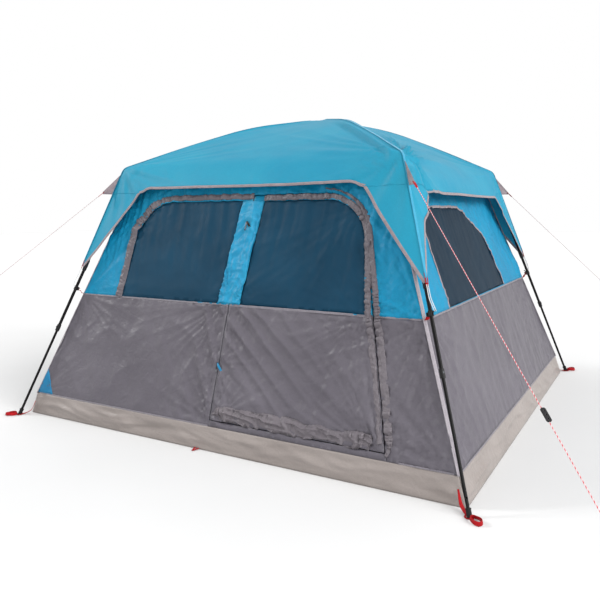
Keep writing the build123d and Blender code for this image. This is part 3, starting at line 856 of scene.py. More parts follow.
def fly_surface(side_index, share, distance, raised=0.0):
    """Point on the folded fly, or above it."""
    left, right = SIDES[side_index]
    corner_share, _ = eave_corner_share(left, right)
    from_end = min(share, 1 - share)
    beyond = smooth((distance - SHOULDER_AT) / (EAVE_AT - SHOULDER_AT))
    if EAVE_BOW[side_index] > 0:
        inner = smooth((from_end - corner_share) / 0.035)
    else:
        inner = smooth(2 * from_end / corner_share - 1)
    distance -= EAVE_BOW[side_index] * beyond * inner
    a, b = side_frame(left, right, distance)
    width = (b - a).length
    point = fly_point(left, right, share, distance)
    down = fly_point(left, right, share, distance + 0.01) - point
    outward = (b - a).normalized().cross(down).normalized()
    if outward.dot(Vector((point.x, point.y, 0.3))) < 0:
        outward = -outward
    lift = fly_folds(side_index, share, distance, width) * smooth(from_end * width / 0.03)
    return point + outward * (lift + raised)


def make_fly():
    """The fly, sewn from four sides that each have a roof and two corner flaps, and its hems."""
    vertices, faces, flat, hems = [], [], [], []

    def add_rows(rows, flipped=False):
        """Adds a grid from rows of (side, share, distance, width)."""
        faces.extend(grid_faces(len(rows) - 1, len(rows[0]) - 1, len(vertices), True, flipped))
        for side_index, share, distance, width in (place for row in rows for place in row):
            vertices.append(fly_surface(side_index, share, distance))
            flat.append(((share - 0.5) * width, -distance))

    for side_index, (left, right) in enumerate(SIDES):
        corner_share, eave_width = eave_corner_share(left, right)
        corner = [corner_share * i / CORNER_COLUMNS for i in range(CORNER_COLUMNS)]
        eave = [lerp(corner_share, 1 - corner_share, i / EAVE_COLUMNS)
                for i in range(EAVE_COLUMNS)] + [1 - corner_share]
        shares = corner + eave + [1 - corner_share * (1 - i / CORNER_COLUMNS)
                                  for i in range(1, CORNER_COLUMNS + 1)]
        distances = [SHOULDER_AT * (i / ROOF_ROWS) for i in range(ROOF_ROWS)]
        distances += [lerp(SHOULDER_AT, EAVE_AT, i / EAVE_ROWS) for i in range(EAVE_ROWS + 1)]
        add_rows([[(side_index, share, distance, eave_width * distance / EAVE_AT)
                   for share in shares] for distance in distances])
        flap_edges = []
        for left_flap in (True, False):
            rows = []
            for part in (row / FLAP_ROWS for row in range(FLAP_ROWS + 1)):
                distance = lerp(EAVE_AT, TIP_AT - 0.002, part)
                a, b = side_frame(left, right, distance)
                width = (b - a).length
                flap = corner_share * eave_width * (1 - part) ** 0.96 + 0.012 * smooth(part * 3)
                across = [flap * i / CORNER_COLUMNS / width for i in range(CORNER_COLUMNS + 1)]
                rows.append([(side_index, share if left_flap else 1 - share, distance, width)
                             for share in across])
            start = len(vertices)
            add_rows(rows, flipped=not left_flap)
            flap_edges.append(vertices[start + CORNER_COLUMNS::CORNER_COLUMNS + 1])
        hem = [fly_surface(side_index, share, EAVE_AT) for share in eave[1:-1]]
        hems.append(flap_edges[0][::-1] + hem + flap_edges[1])
    made = piece("fly_canopy", vertices, faces, FLY_BLUE, flat)
    weld(made)
    return made, hems


fly, hem_lines = make_fly()
thicken(fly, HEAVY_THICKNESS)
fasten(fly, "fly_cloth", "fly_roof", "fly_corner_flaps")


def side_normal(index):
    """Direction out of the fly's side walls."""
    a, b = side_frame(*SIDES[index], EAVE_AT)
    c, _ = side_frame(*SIDES[index], TIP_AT - 0.01)
    return (c - a).cross(b - a).normalized()


hem_binding = join("fly_hem_binding", [
    band(f"hem_{i}", resampled(hem, 0.012, closed=False), side_normal(i), 0.017, 0.003, BINDING)
    for i, hem in enumerate(hem_lines)
])
for vertex in hem_binding.data.vertices:
    vertex.co -= Vector((vertex.co.x, vertex.co.y, 0)).normalized() * HEAVY_THICKNESS
fasten(hem_binding, "fly_cloth")


def make_fly_seams():
    """Seams down the four ridges and across the top of each corner flap."""
    seams = []
    for corner in CORNERS:
        path = [at_corner(*softened(TIP_AT * i / 150), corner) for i in range(6, 149)]
        level = at_corner(0, 0, corner, 1.0)
        normals = []
        for before, after in zip([path[0], *path], [*path[1:], path[-1]]):
            normal = level.cross((after - before).normalized())
            normals.append(normal if normal.z > 0 else -normal)
        seams.append(band(f"ridge_{corner}", path, normals, 0.012, 0.0016, SEAM_BLUE))
    for i, side in enumerate(SIDES):
        flap_share, _ = eave_corner_share(*side)
        for first, last in ((0.004, flap_share), (1 - flap_share, 0.996)):
            path = [fly_surface(i, lerp(first, last, k / 24), EAVE_AT, 0.0012) for k in range(25)]
            seams.append(band(f"eave_seam_{i}", path, side_normal(i), 0.006, 0.0010, FLY_BLUE))
    fasten(join("fly_seams", seams), "fly_cloth")


make_fly_seams()

# ---- walls and door -------------------------------------------------------------------------
EDGE, DOOR_GAP = 0.003, 0.0015  # what a wall and the door leave free beside a seam
LOW_Z = SKIRT_TOP + 0.001
WINDOW_TOP, MESH_TOP = 1.402, 1.398
SLOTS = {
    "wall_grey": "wall_cloth_grey", "wall_blue": "wall_cloth_blue", "strip_blue": "wall_cloth_blue",
    "patch_blue": "wall_cloth_blue", "window_navy": "mesh_cloth", "side_window_navy_painted_shade": "mesh_cloth",
}
FRONT_WINDOW = rounded([(-0.845, WAIST + 0.005, 0), (-0.068, WAIST + 0.005, 0),
                        (-0.012, WINDOW_TOP, 0), (-0.792, WINDOW_TOP, 0.280)])
REAR_WINDOW = [Vector((-p.x, p.y)) for p in reversed(FRONT_WINDOW)]
SIDE_WINDOW = rounded([(-0.765, WAIST + 0.008, 0), (0.552, WAIST + 0.010, 0),
                       (0.432, 1.172, 0.150), (0.060, 1.358, 0.300), (-0.745, 1.358, 0.160)])
DOOR_MESH = rounded([(zip_x(WAIST) + 0.072, WAIST + 0.005, 0), (0.872, WAIST + 0.005, 0),
                     (0.782, MESH_TOP, 0.262), (zip_x(MESH_TOP) + 0.074, MESH_TOP, 0)])


def beside_zip(z):
    return zip_x(z) - 0.002


def beside_hinge(z):
    return hinge_x(z) + EDGE


def wall_outline(half, low, high, left=None, right=None):
    """Corners of a wall band between two heights."""
    left = left or (lambda z: EDGE - half(z))
    right = right or (lambda z: half(z) - EDGE)
    return outline((left(low), low), (right(low), low), (right(high), high), (left(high), high))


def cut(name, side, edge, finish, *stands_for, body="shelter", with_pieces=(), declared=True,
        **more):
    """Makes, thickens and fastens a wall panel."""
    made = panel(name, side, edge, finish, **more)
    thicken(made, CLOTH_THICKNESS)
    fasten(made, SLOTS[finish.name], *stands_for, body=body)
    return made


cut("front_wall_grey_left", "front", wall_outline(wall_x, LOW_Z, WAIST, right=beside_zip),
    WALL_GREY, "front_wall_lower", step=0.011)
cut("front_wall_grey_right", "front", wall_outline(wall_x, LOW_Z, WAIST, left=beside_hinge),
    WALL_GREY, step=0.016)
sill = outline((beside_zip(LOW_Z), LOW_Z), (beside_hinge(LOW_Z), LOW_Z),
               (beside_hinge(DOOR_BOTTOM), DOOR_BOTTOM - EDGE),
               (beside_zip(DOOR_BOTTOM), DOOR_BOTTOM - EDGE))
cut("door_sill_grey", "front", sill, WALL_GREY, step=0.016)
arch = rounded([
    (zip_x(DOOR_TOP), DOOR_TOP + EDGE, 0), (hinge_x(DOOR_TOP) + 0.013, DOOR_TOP + EDGE, 0.278),
    (beside_hinge(HINGE_HIGH[1]), HINGE_HIGH[1], 0), (beside_hinge(WAIST), WAIST, 0),
])[1:]
bottom_left, bottom_right, top_right, top_left = wall_outline(wall_x, WAIST, WALL_TOP)
doorway_edge = outline((beside_zip(WAIST), WAIST), (beside_zip(DOOR_TOP), DOOR_TOP + EDGE))
upper_front = [bottom_left, *doorway_edge, *arch, bottom_right, top_right, top_left]
cut("front_wall_blue", "front", upper_front, WALL_BLUE, "front_wall_upper",
    holes=[FRONT_WINDOW], step=0.012)
for wall, half_width, node_start, windows in (
    ("rear", wall_x, "rear_wall", [FRONT_WINDOW, REAR_WINDOW]),
    ("right", wall_y, "side_walls", [SIDE_WINDOW]), ("left", wall_y, "side_walls", [SIDE_WINDOW]),
):
    cut(f"{wall}_wall_grey", wall, wall_outline(half_width, LOW_Z, WAIST), WALL_GREY,
        f"{node_start}_lower")
    cut(f"{wall}_wall_blue", wall, wall_outline(half_width, WAIST, WALL_TOP), WALL_BLUE,
        f"{node_start}_upper", holes=windows)

for net, wall, opening in (
    ("front_window_net", "front", FRONT_WINDOW), ("rear_window_net_a", "rear", FRONT_WINDOW),
    ("rear_window_net_b", "rear", REAR_WINDOW), ("right_window_net", "right", SIDE_WINDOW),
    ("left_window_net", "left", SIDE_WINDOW),
):
    # The side walls' nets take the darker copy of the window net, which paints shade onto them.
    sideways = wall in ("right", "left")
    cut(net, wall, opening, SIDE_NAVY_PAINTED_SHADE if sideways else WINDOW_NAVY, "window_meshes", step=0.018,
        lift=-0.0015, calm=0.3 if sideways else 0.55)

door_foot = DOOR_BOTTOM + DOOR_GAP
door_lower = outline((zip_x(DOOR_BOTTOM) + DOOR_GAP, door_foot),
                     (hinge_x(DOOR_BOTTOM) - DOOR_GAP, door_foot),
                     (hinge_x(WAIST) - DOOR_GAP, WAIST), (zip_x(WAIST) + DOOR_GAP, WAIST))
door_upper = rounded([
    (zip_x(WAIST) + DOOR_GAP, WAIST, 0), (hinge_x(WAIST) - DOOR_GAP, WAIST, 0),
    (hinge_x(HINGE_HIGH[1]) - DOOR_GAP, HINGE_HIGH[1], 0),
    (hinge_x(DOOR_TOP) + 0.0085, DOOR_TOP - DOOR_GAP, 0.2735),
    (zip_x(DOOR_TOP) + DOOR_GAP, DOOR_TOP - DOOR_GAP, 0),
])
door_blue = cut("door_leaf_blue", "front", door_upper, WALL_BLUE, body="door",
                holes=[DOOR_MESH], step=0.014, declared=False)
cut("door_leaf_grey", "front", door_lower, WALL_GREY, "door_panel", body="door", step=0.011,
    with_pieces=[door_blue])
cut("door_window_net", "front", DOOR_MESH, WINDOW_NAVY, "door_mesh", body="door", step=0.016,
    lift=-0.0015, calm=0.55)


# ---- skirt, groundsheet and ceiling ---------------------------------------------------------
def skirt_strip(side):
    """One side of the tub: from the groundsheet's edge up to the wall."""
    x, y = FACING[side]
    x_run, y_run = (floor_high.x, side_high.x), (floor_high.y, wall_y(SKIRT_TOP))
    (half_low, half_high), (out_low, out_high) = (y_run, x_run) if x else (x_run, y_run)
    columns, rows = 240, 14
    vertices, flat = [], []
    seed = WALL_SEED[side] + 90
    for up in (row / rows for row in range(rows + 1)):
        z = lerp(0.0012, SKIRT_TOP, up)
        half = lerp(half_low - 0.002, half_high - 0.002, up)
        for across in (lerp(-half, half, column / columns) for column in range(columns + 1)):
            at_end = smooth((half - abs(across)) / 0.05)
            bulge = 0.010 * math.sin(math.pi * up) * (0.5 + wave(across * 1.5, 0.0, seed))
            creased = ridged(across * 1.4, z * 16 + wave(across * 2, z, seed), seed) - 0.5
            fold = 0.013 * creased + 0.008 * (ridged(across * 5 + z * 12, z * 9, seed + 3) - 0.5)
            held = math.sin(math.pi * min(1.0, up * 1.05)) * at_end
            out = lerp(out_low, out_high, up) + (bulge + fold) * held
            vertices.append(Vector((x * out, across, z) if x else (across, y * out, z)))
            flat.append((across, z))
    faces = grid_faces(rows, columns, flipped=side in ("rear", "left"))
    made = piece(f"tub_skirt_{side}", vertices, faces, TUB_BEIGE, flat)
    made["cut_area"] = (half_low + half_high) * math.hypot(SKIRT_TOP, out_low - out_high)
    made["cut_size"] = [2 * half_low, SKIRT_TOP * 1.05]
    thicken(made, HEAVY_THICKNESS)
    fasten(made, "tub_cloth", "tub_skirt")


for wall in ("front", "right", "rear", "left"):
    skirt_strip(wall)


def make_groundsheet():
    columns, rows = 90, 86
    vertices, flat = [], []
    for y in (lerp(-floor_high.y, floor_high.y, row / rows) for row in range(rows + 1)):
        for x in (lerp(-floor_high.x, floor_high.x, i / columns) for i in range(columns + 1)):
            inner = smooth(min(floor_high.x - abs(x), floor_high.y - abs(y)) / 0.1)
            ripple = 0.0018 * (1 + wave(x * 3, y * 3, 5.0)) + 0.001 * ridged(x * 6, y * 6, 8.0)
            vertices.append(Vector((x, y, 0.0008 + inner * ripple)))
            flat.append((x, y))
    made = piece("groundsheet", vertices, grid_faces(rows, columns), TUB_BEIGE, flat)
    thicken(made, HEAVY_THICKNESS)
    fasten(made, "tub_cloth", "floor_sheet", folds=False)


make_groundsheet()


def make_ceiling():
    """Net ceiling that hangs from the hub and meets the walls' top edge."""
    rows, columns = 30, 160
    vertices, faces = [], []
    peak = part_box("inner_ceiling")[1].z
    half_x, half_y = wall_x(WALL_TOP), wall_y(WALL_TOP)
    corners = [(-1, -1), (1, -1), (1, 1), (-1, 1), (-1, -1)]
    for out in (row / rows for row in range(rows + 1)):
        for turn in (column / columns * 4 for column in range(columns)):
            side, part = int(turn), turn % 1
            x, y = (out * lerp(a, b, part) for a, b in zip(corners[side], corners[side + 1]))
            sag = 0.05 * math.sin(math.pi * out) * (1 - 0.6 * abs(part - 0.5) * 2)
            z = lerp(peak, WALL_TOP + 0.002, out ** 0.92) - sag + 0.004 * wave(x * 4, y * 4, 3.0)
            vertices.append(Vector((x * (half_x - 0.004), y * (half_y - 0.004), z)))
    for row in range(rows):
        for column in range(columns):
            a, b = row * columns + column, row * columns + (column + 1) % columns
            faces.append((a, a + columns, b + columns, b))
    made = piece("ceiling_net", vertices, faces, CEILING_MESH, [v.xy for v in vertices])
    weld(made)
    thicken(made, NET_THICKNESS)
    fasten(made, "mesh_cloth", "inner_ceiling")


make_ceiling()


# ---- bindings, bands and zips ---------------------------------------------------------------
def wall_path(side, points, lift=0.0, step=0.012):
    """Path on a wall's folded cloth from (x, z) points."""
    dense = resampled(outline(*points), step, closed=False)
    return [on_wall(side, p.x, p.y, wall_folds(side, p.x, p.y) + lift) for p in dense]


def wall_normal(side):
    return (on_wall(side, 0, 1, 1) - on_wall(side, 0, 1, 0)).normalized()


def wall_band(name, side, points, width, height, finish, lift=0.0005, step=0.012, **more):
    return band(name, wall_path(side, points, lift, step), wall_normal(side), width, height,
                finish, **more)


def offset_outline(points, distance):
    """Open outline moved sideways by a distance, to the right of its direction."""
    out = []
    for here, before, after in zip(points, [points[0], *points], [*points[1:], points[-1]]):
        ahead = (after - before).normalized()
        out.append(here + Vector((ahead.y, -ahead.x)) * distance)
    return out


side_trim = SIDE_WINDOW[1:] + SIDE_WINDOW[:1]
fasten(join("window_bindings", [
    wall_band(f"trim_{side}", side, sides_and_top, 0.016, 0.0022, BINDING)
    for side, sides_and_top in (
        ("right", side_trim), ("left", side_trim), ("rear", FRONT_WINDOW[1:] + FRONT_WINDOW[:1]),
        ("rear", REAR_WINDOW[-1:] + REAR_WINDOW[:-1]),
    )
]), "wall_cloth_grey")

left_arch = rounded([(-0.845, WAIST + 0.002, 0), (-0.792, WINDOW_TOP, 0.280),
                     (zip_x(WINDOW_TOP), WINDOW_TOP, 0)])
left_arch[0] = Vector((-0.8462, WAIST + 0.002))
down_to_sill = outline(*((hinge_x(z) + 0.027, z) for z in (0.70, 0.50, 0.30, 0.21)))
flap_foot = outline((hinge_x(0.19) + 0.020, 0.185), (hinge_x(0.17) + 0.004, 0.160))
bunched = {"finish": FLAP_GREY, "step": 0.004}
fasten(join("arch_storm_flap", [
    wall_band("arch_left", "front", offset_outline(left_arch, -0.024),
              lambda d: 0.056 - 0.020 * smooth((d - 0.62) / 0.3), 0.009, section=PUFF,
              gather=0.45, **bunched),
    wall_band("arch_right", "front", [*offset_outline(arch, -0.020), *down_to_sill, *flap_foot],
              lambda d: 0.008 + 0.026 * smooth((d - 0.05) / 0.4) + 0.008 * smooth((d - 1.0) / 0.3)
              - 0.022 * smooth((d - 1.66) / 0.08),
              lambda d: 0.010 - 0.002 * smooth((d - 0.8) / 0.3),
              section=PUFF_FINE, gather=0.5, seed=4.0, **bunched),
]), "wall_cloth_grey")

down_the_door = outline(*((hinge_x(z) - 0.022, z) for z in (0.21, 0.35, 0.50, 0.65, 0.76)))
fasten(wall_band("door_arch_flap", "front",
                 down_the_door + offset_outline(DOOR_MESH[1:], 0.017),
                 lambda d: 0.028 + 0.006 * smooth((d - 0.1) / 0.45),
                 lambda d: 0.008 + 0.002 * smooth((d - 0.45) / 0.3),
                 section=PUFF_FINE, gather=0.5, seed=12.0, **bunched),
       "wall_cloth_grey", body="door")
fasten(wall_band("door_waist_seam", "front",
                 [(zip_x(WAIST) + 0.008, WAIST), (hinge_x(WAIST) - 0.004, WAIST)],
                 0.013, 0.0016, SEAM_GREY), "wall_cloth_grey", body="door")


def make_storm_flap():
    """Bunched flap along the door's foot."""
    start, length = 0.030, 1.035
    path = [(lerp(start, start + length, i / 60), 0.214 + 0.010 * wave(i * 0.21, 0.5, 2.0))
            for i in range(61)]

    def at_ends(d):
        return smooth(d / 0.06 + 0.2) * smooth((length - d) / 0.03 + 0.5)

    made = wall_band("door_foot_flap", "front", path,
                     lambda d: (0.084 + 0.030 * wave(d * 7, 2.0, 1.0)) * at_ends(d),
                     lambda d: (0.015 + 0.008 * wave(d * 6, 3.0, 1.0)) * at_ends(d), FLAP_GREY,
                     section=HANGING, gather=0.45, step=0.005, seed=21.0)
    for vertex in made.data.vertices:
        x, z = vertex.co.x, vertex.co.z
        vertex.co.z += 0.012 * wave(x * 11, z * 14, 6.0)
        vertex.co.y -= 0.015 * (ridged(x * 9 + z * 22, z * 15 - x * 5, 9.0) ** 1.6 - 0.35)
        vertex.co.y = min(vertex.co.y, -wall_y(max(SKIRT_TOP, z)) - 0.001)
    fasten(made, "wall_cloth_grey", "door_storm_flap", body="door")


make_storm_flap()

TOOTH_PITCH, TOOTH_HALF = 0.0035, (0.0022, 0.0011, 0.0010)  # half sizes across, along and out
TOOTH = ((-1, -1, -1), (1, -1, -1), (1, 1, -1), (-1, 1, -1),
         (-0.7, -0.5, 1), (0.7, -0.5, 1), (0.7, 0.5, 1), (-0.7, 0.5, 1))
TOOTH_FACES = ((0, 3, 2, 1), (4, 5, 6, 7), (0, 1, 5, 4), (1, 2, 6, 5), (2, 3, 7, 6), (3, 0, 4, 7))


def make_zip():
    """Coil zip: a tape and a row of teeth on the wall, and the same on the door."""
    foot, top = DOOR_BOTTOM + 0.01, DOOR_TOP - 0.012
    out = wall_normal("front")
    for name, body, offset, turn in (("zip_coil_wall", "shelter", -TOOTH_PITCH, 0.0),
                                     ("zip_coil_door", "door", TOOTH_PITCH, 0.5)):
        parts = []
        for low, high, finish in ((foot, WAIST, ZIP_TAPE), (WAIST, top, SEAM_BLUE)):
            heights = [lerp(low, high, i / 8) for i in range(9)]
            points = [(zip_x(z) + offset * 2.2, z) for z in heights]
            parts.append(wall_band(f"{name}_tape", "front", points, 0.010, 0.0010, finish))
        path = wall_path("front", [(zip_x(z) + offset * 0.5, z) for z in (foot, WAIST, top)],
                         0.0018, TOOTH_PITCH)
        vertices, faces = [], []
        for here, after in zip(path, path[1:]):
            ahead = (after - here).normalized()
            centre = here + ahead * TOOTH_PITCH * turn
            faces += [tuple(len(vertices) + k for k in quad) for quad in TOOTH_FACES]
            for corner in TOOTH:
                x, y, z = (share * half for share, half in zip(corner, TOOTH_HALF))
                vertices.append(centre + ahead.cross(out) * x + ahead * y + out * z)
        flat = [(v.z, v.x) for v in vertices]
        parts.append(piece(f"{name}_teeth", vertices, faces, ZIP_COIL, flat))
        fasten(join(name, parts), "zip_metal", body=body)


make_zip()

STRIP_LEFT, STRIP_RIGHT, STRIP_LIFT = -0.078, 0.070, 0.0048
strip_foot = zip_x(WAIST), WAIST + 0.010
strip_top = zip_x(MESH_TOP), MESH_TOP
strip_outline = outline(*(
    (x + aside, z)
    for (x, z), aside in ((strip_foot, STRIP_LEFT), (strip_foot, STRIP_RIGHT),
                          (strip_top, STRIP_RIGHT), (strip_top, STRIP_LEFT))
))
cut("centre_strip", "front", strip_outline, STRIP_BLUE, body="door", step=0.007, lift=STRIP_LIFT,
    extra=lambda x, z: 0.0050 * (ridged(x * 13 + z * 4, z * 19 - x * 9, 4.0) - 0.4)
    + 0.0014 * wave(x * 60, z * 50, 2.0))


def make_wall_seams():
    """Seams round the waist and the skirt, and up the four corners."""
    seams, corner_seams = [], []
    for side in ("front", "rear", "right", "left"):
        end_at = (wall_y if FACING[side][0] else wall_x)(WAIST) - 0.01
        runs = [(-end_at, end_at)]
        if side == "front":
            runs = [(-end_at, zip_x(WAIST) - 0.008), (hinge_x(WAIST) + 0.04, end_at)]
        for run in runs:
            for name, z, wider, width in (("waist", WAIST, 1, 0.010),
                                          ("skirt", SKIRT_TOP + 0.004, 1.2, 0.008)):
                seams.append(wall_band(f"{name}_{side}", side, [(x * wider, z) for x in run],
                                       width, 0.0014, SEAM_GREY))
    for corner, sx, sy in (("front_left", -1, -1), ("front_right", 1, -1), ("rear_right", 1, 1),
                           ("rear_left", -1, 1)):
        path = [Vector((sx * (wall_x(z) - 0.0005), sy * (wall_y(z) - 0.0005), z))
                for z in (lerp(SKIRT_TOP, WALL_TOP, i / 79) for i in range(80))]
        out = Vector((sx, sy, 0.3)).normalized()
        corner_seams.append(band(f"corner_{corner}", path, out, 0.020, 0.004, SEAM_PALE))
    fasten(join("wall_seams", seams), "wall_cloth_grey")
    fasten(join("corner_seams", corner_seams), "wall_cloth_grey")


make_wall_seams()

PATCH_LOW, PATCH_HIGH = 0.145, 0.305
patch = outline((-wall_x(PATCH_LOW) + 0.004, PATCH_LOW), (-1.290, PATCH_LOW), (-1.330, 0.215),
                (-wall_x(PATCH_HIGH) + 0.004, PATCH_HIGH))
cut("corner_patch_blue", "front", patch, PATCH_BLUE, lift=0.0018, step=0.012)


# ---- webbing, tabs and elastics -------------------------------------------------------------
def corner_curve(corner, places, count):
    """Smooth curve in a corner's plane through (radius, z) or (radius, z, sideways) places."""
    return smooth_path([at_corner(radius, z, corner, *aside) for radius, z, *aside in places],
                       count)


def leg_point(distance):
    """(radius, z) on a leg's axis at a distance down from the shoulder."""
    share = distance / math.hypot(FOOT_R - SHOULDER[0], SHOULDER[1])
    return lerp(SHOULDER[0], FOOT_R, share), lerp(SHOULDER[1], 0, share)


CLIP_AT = 0.845
RING, RING_Z = 0.0200, 0.0028  # the strap's ring round the boot
CURL, CURL_WIDE = 0.034, 0.019  # half sizes of the finger loop
waist_r = math.hypot(wall_x(WAIST), wall_y(WAIST))
hem_r = math.hypot(floor_high.x, floor_high.y)
clip_r, clip_z = leg_point(CLIP_AT)
eye_r, eye_z = clip_r - 0.0165, clip_z - 0.002
UP = Vector((0, 0, 1))
tab_pieces, strap_pieces, elastic_pieces = [], [], []


def clip_webbing(corner, level):
    """Strap from the wall's corner to the clip's eye and back, and the fly's red loop."""
    strap = corner_curve(corner, [
        (waist_r - 0.004, WAIST + 0.002), (waist_r + 0.012, WAIST + 0.008),
        (lerp(waist_r, eye_r, 0.6), lerp(WAIST, eye_z, 0.55)), (eye_r - 0.002, eye_z - 0.012),
    ], 10)
    back = corner_curve(corner, [
        (eye_r - 0.002, eye_z - 0.012), (eye_r + 0.001, eye_z + 0.002),
        (lerp(waist_r, eye_r, 0.7), lerp(WAIST, eye_z, 0.80) + 0.004),
    ], 8)
    loop = corner_curve(corner, [(1.516, 1.478), (1.530, 1.468), (1.548, 1.454), (1.557, 1.446)],
                        8)
    normal = level.cross((strap[-1] - strap[0]).normalized())
    for name, path, width, height in (
        ("clip_strap", strap, 0.022, 0.0020), ("clip_loop", back, 0.020, 0.0020),
        ("guy_web", loop, 0.014, 0.0026),
    ):
        tab_pieces.append(band(f"{name}_{corner}", path, normal, width, height, WEBBING_RED))


def foot_strap(corner, level):
    """Strap from the tub's corner down to the boot, round it and out to a finger loop."""
    run = corner_curve(corner, [(hem_r - 0.030, 0.085), (hem_r - 0.004, 0.030), (2.082, 0.010),
                                (2.108, 0.0035)], 12)
    normal = level.cross((run[-1] - run[0]).normalized())
    ring = [at_corner(FOOT_R - 0.002 + RING * math.cos(a), RING_Z + 0.001 * math.sin(a), corner,
                      RING * math.sin(a)) for a in turns_of(48)[:-1]]
    curl, curl_out = [], []
    for i in range(37):
        a = math.radians(lerp(-205, 175, i / 36))
        curl.append(at_corner(FOOT_R + 0.050 + CURL * math.cos(a),
                              0.0125 + 0.002 * math.sin(2 * a), corner,
                              CURL_WIDE * math.sin(a) + 0.0035 * (i / 36)))
        curl_out.append(at_corner(math.cos(a), 0.25, corner, 1.6 * math.sin(a)))
    strap_pieces.extend((
        band(f"foot_run_{corner}", run, -normal if normal.z < 0 else normal,
             lambda d: 0.010 + 0.010 * smooth(d / 0.09), 0.0024, WEBBING_RED),
        band(f"foot_ring_{corner}", ring, UP, 0.009, 0.0024, WEBBING_RED, closed=True),
        band(f"foot_curl_{corner}", curl, curl_out, 0.020, 0.0024, WEBBING_RED),
    ))


def tip_elastic(corner, level):
    """Webbing at the fly's tip and the elastic from it to the clip's horn."""
    tip_r, tip_z = ridge(TIP_AT - 0.004)
    web = corner_curve(corner, [(tip_r - 0.022, tip_z + 0.045), (tip_r - 0.006, tip_z + 0.010),
                                (tip_r + 0.004, tip_z - 0.016)], 8)
    normal = level.cross((web[-1] - web[0]).normalized())
    tab_pieces.append(band(f"tip_web_{corner}", web, normal, 0.016, 0.0030, WEBBING_RED))
    for aside in (-0.004, 0.004):
        path = corner_curve(corner, [
            (tip_r + 0.002, tip_z - 0.010, aside),
            (lerp(tip_r, clip_r, 0.5) + 0.012, lerp(tip_z, clip_z, 0.5), aside * 1.2),
            (clip_r + 0.012, clip_z + 0.030, aside * 1.2 + 0.010),
            (clip_r + 0.004, clip_z + 0.012, aside + 0.022),
        ], 10)
        elastic_pieces.append(tube(f"elastic_{corner}", path, 0.0020, ELASTIC, 8))


for corner in CORNERS:
    level_way = at_corner(0, 0, corner, 1.0)
    clip_webbing(corner, level_way)
    foot_strap(corner, level_way)
    tip_elastic(corner, level_way)


def pole_wrap(corner):
    """Sleeve of black cloth round the lower leg."""
    path = [at_corner(*leg_point(lerp(0.640, 0.715, i / 12)), corner) for i in range(13)]
    sleeve = tube(f"pole_wrap_{corner}", path,
                  lambda t: 0.0113 + 0.0012 * math.sin(math.pi * t) + 0.0004 * math.sin(t * 40),
                  BLACK_PLASTIC, 16, capped=False)
    thicken(sleeve, 0.0018)
    fasten(sleeve, "webbing", body=f"leg_{corner}", folds=False)


def guy_tab(corner):
    """Grey tab that runs from the fly's shoulder out to the red loop."""
    top, bottom, tip = ridge(SHOULDER_AT + 0.046), ridge(SHOULDER_AT + 0.190), (1.530, 1.470)
    vertices, flat = [], []
    rows, columns = 12, 12
    for down in (row / rows for row in range(rows + 1)):
        for along in (column / columns for column in range(columns + 1)):
            radius = lerp(lerp(top[0], bottom[0], down), tip[0] - 0.004, along)
            z = lerp(lerp(top[1], bottom[1], down), tip[1] + lerp(0.007, -0.007, down), along)
            bow = 0.004 * math.sin(math.pi * along) * math.sin(math.pi * down)
            bow += 0.0015 * wave(radius * 60, z * 60, CORNERS[corner])
            vertices.append(at_corner(radius, z, corner, bow))
            flat.append((radius, z))
    made = piece(f"guy_tab_{corner}", vertices, grid_faces(rows, columns), BINDING, flat)
    thicken(made, 0.0022)
    return made


guy_tabs = []
for corner in CORNERS:
    pole_wrap(corner)
    guy_tabs.append(guy_tab(corner))
fasten(join("red_tabs", tab_pieces), "webbing", "webbing_tabs")
fasten(join("fly_elastics", elastic_pieces), "webbing")
for tab in guy_tabs:
    fasten(tab, "webbing")


def hem_loop(way):
    """Webbing loop at the middle of a long hem."""
    half = ((-0.013, -0.002, 0.006), (-0.009, 0.012, 0.004), (-0.004, 0.030, 0.003))
    places = [*half, (0.0, 0.036, 0.003), *((-x, y, z) for x, y, z in reversed(half))]
    path = [Vector((x - 0.060, way * (floor_high.y + 0.002) + way * y, z)) for x, y, z in places]
    return band(f"hem_loop_{way}", smooth_path(path, 6), UP, 0.011, 0.0022, WEBBING_RED)


fasten(join("foot_straps", [*strap_pieces, hem_loop(-1), hem_loop(1)]), "webbing",
       "corner_straps")

for end, tab_z, tab_finish, drop in (("upper", 1.272, BLACK_PLASTIC, 0.034),
                                     ("lower", 0.475, PATCH_BLUE, 0.040)):
    slider_body = f"zip_{end}"
    follow_cloth(f"zip_slider_{end}", slider_body, ZIP_METAL, "zip_metal")
    tab_x = zip_x(tab_z) - 0.004
    hanging = smooth_path([
        on_wall("front", tab_x + 0.9 * down, tab_z + 0.004 - down, STRIP_LIFT + lift)
        for down, lift in ((0.0, 0.004), (0.3 * drop, 0.011), (0.65 * drop, 0.010), (drop, 0.006))
    ], 8)
    fasten(band(f"pull_tab_{slider_body}", hanging, wall_normal("front"),
                lambda d: 0.010 + 0.004 * smooth(d / 0.02), 0.0026, tab_finish),
           "webbing", body=slider_body)

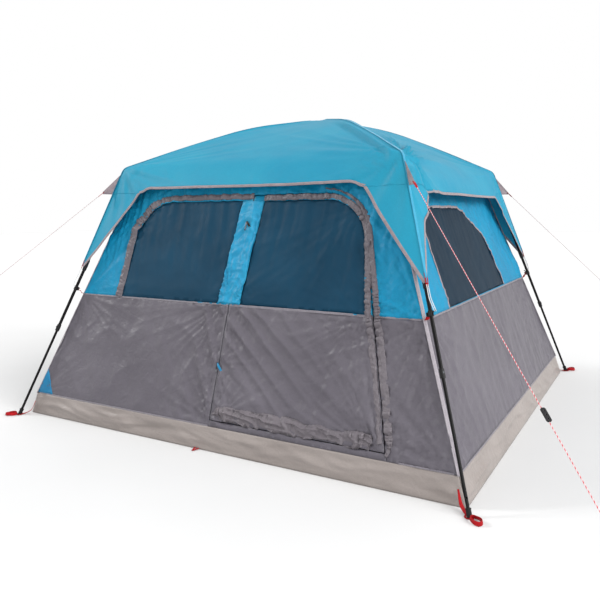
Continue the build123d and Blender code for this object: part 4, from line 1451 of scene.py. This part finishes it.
# ---- finishes of the frame's own pieces -----------------------------------------------------
NODE_FINISHES = {
    "roof_arm": STEEL, "upper_leg": STEEL, "lower_leg": STEEL, "elbow": BLACK_PLASTIC,
    "lock_collar": BLACK_PLASTIC, "pole_clip": BLACK_PLASTIC, "hub_": BLACK_PLASTIC,
    "foot_boot": RUBBER, "lock_button": BUTTON_STEEL,
}
for node_name, node in nodes.items():
    for prefix, finish in NODE_FINISHES.items():
        if node_name.startswith(prefix):
            node.data.materials.clear()
            node.data.materials.append(finish)


# ---- stage and light ------------------------------------------------------------------------
STAGE_HALF, STAGE_Z = 40, -0.0005


def make_stage():
    f = Finish("studio_floor")
    tone = f.ramp(f.noise(0.8, 3.0), (0.3, grey(0.575)), (0.7, grey(0.595)))
    f.done(f.add("BsdfPrincipled", {"Base Color": tone, "Roughness": 0.8}))
    corners = [(x * STAGE_HALF, y * STAGE_HALF, STAGE_Z)
               for x, y in ((-1, -1), (1, -1), (1, 1), (-1, 1))]
    piece("studio_floor", corners, [(0, 1, 2, 3)], f.material)


def lamp(name, kind, energy, toward, **settings):
    """Lamp whose light comes from the direction `toward`."""
    data = bpy.data.lights.new(name, kind)
    data.energy = energy
    for setting, value in settings.items():
        setattr(data, setting, value)
    made = add_object(name, data)
    made.rotation_mode = "QUATERNION"
    made.rotation_quaternion = (-toward).to_track_quat("-Z", "Y")
    return made


make_stage()
lamp("key", "SUN", 3.3, Vector((1.0, -0.12, 0.60)), angle=math.radians(40))
lamp("graze", "SUN", 1.3, Vector((-1.0, -0.30, 0.62)), angle=math.radians(8))
fill_place = Vector((2.6, -4.6, 0.9))
fill_way = fill_place - Vector((0.5, -1.3, 0.8))
lamp("door_fill", "AREA", 36, fill_way, shape="DISK", size=1.6).location = fill_place

world = bpy.data.worlds.new("studio")
world.use_nodes = True
backdrop = world.node_tree.nodes["Background"]
backdrop.inputs[0].default_value = (1, 1, 1, 1)
backdrop.inputs[1].default_value = 1.0
bpy.context.scene.world = world
bpy.context.scene.view_settings.view_transform = "Standard"
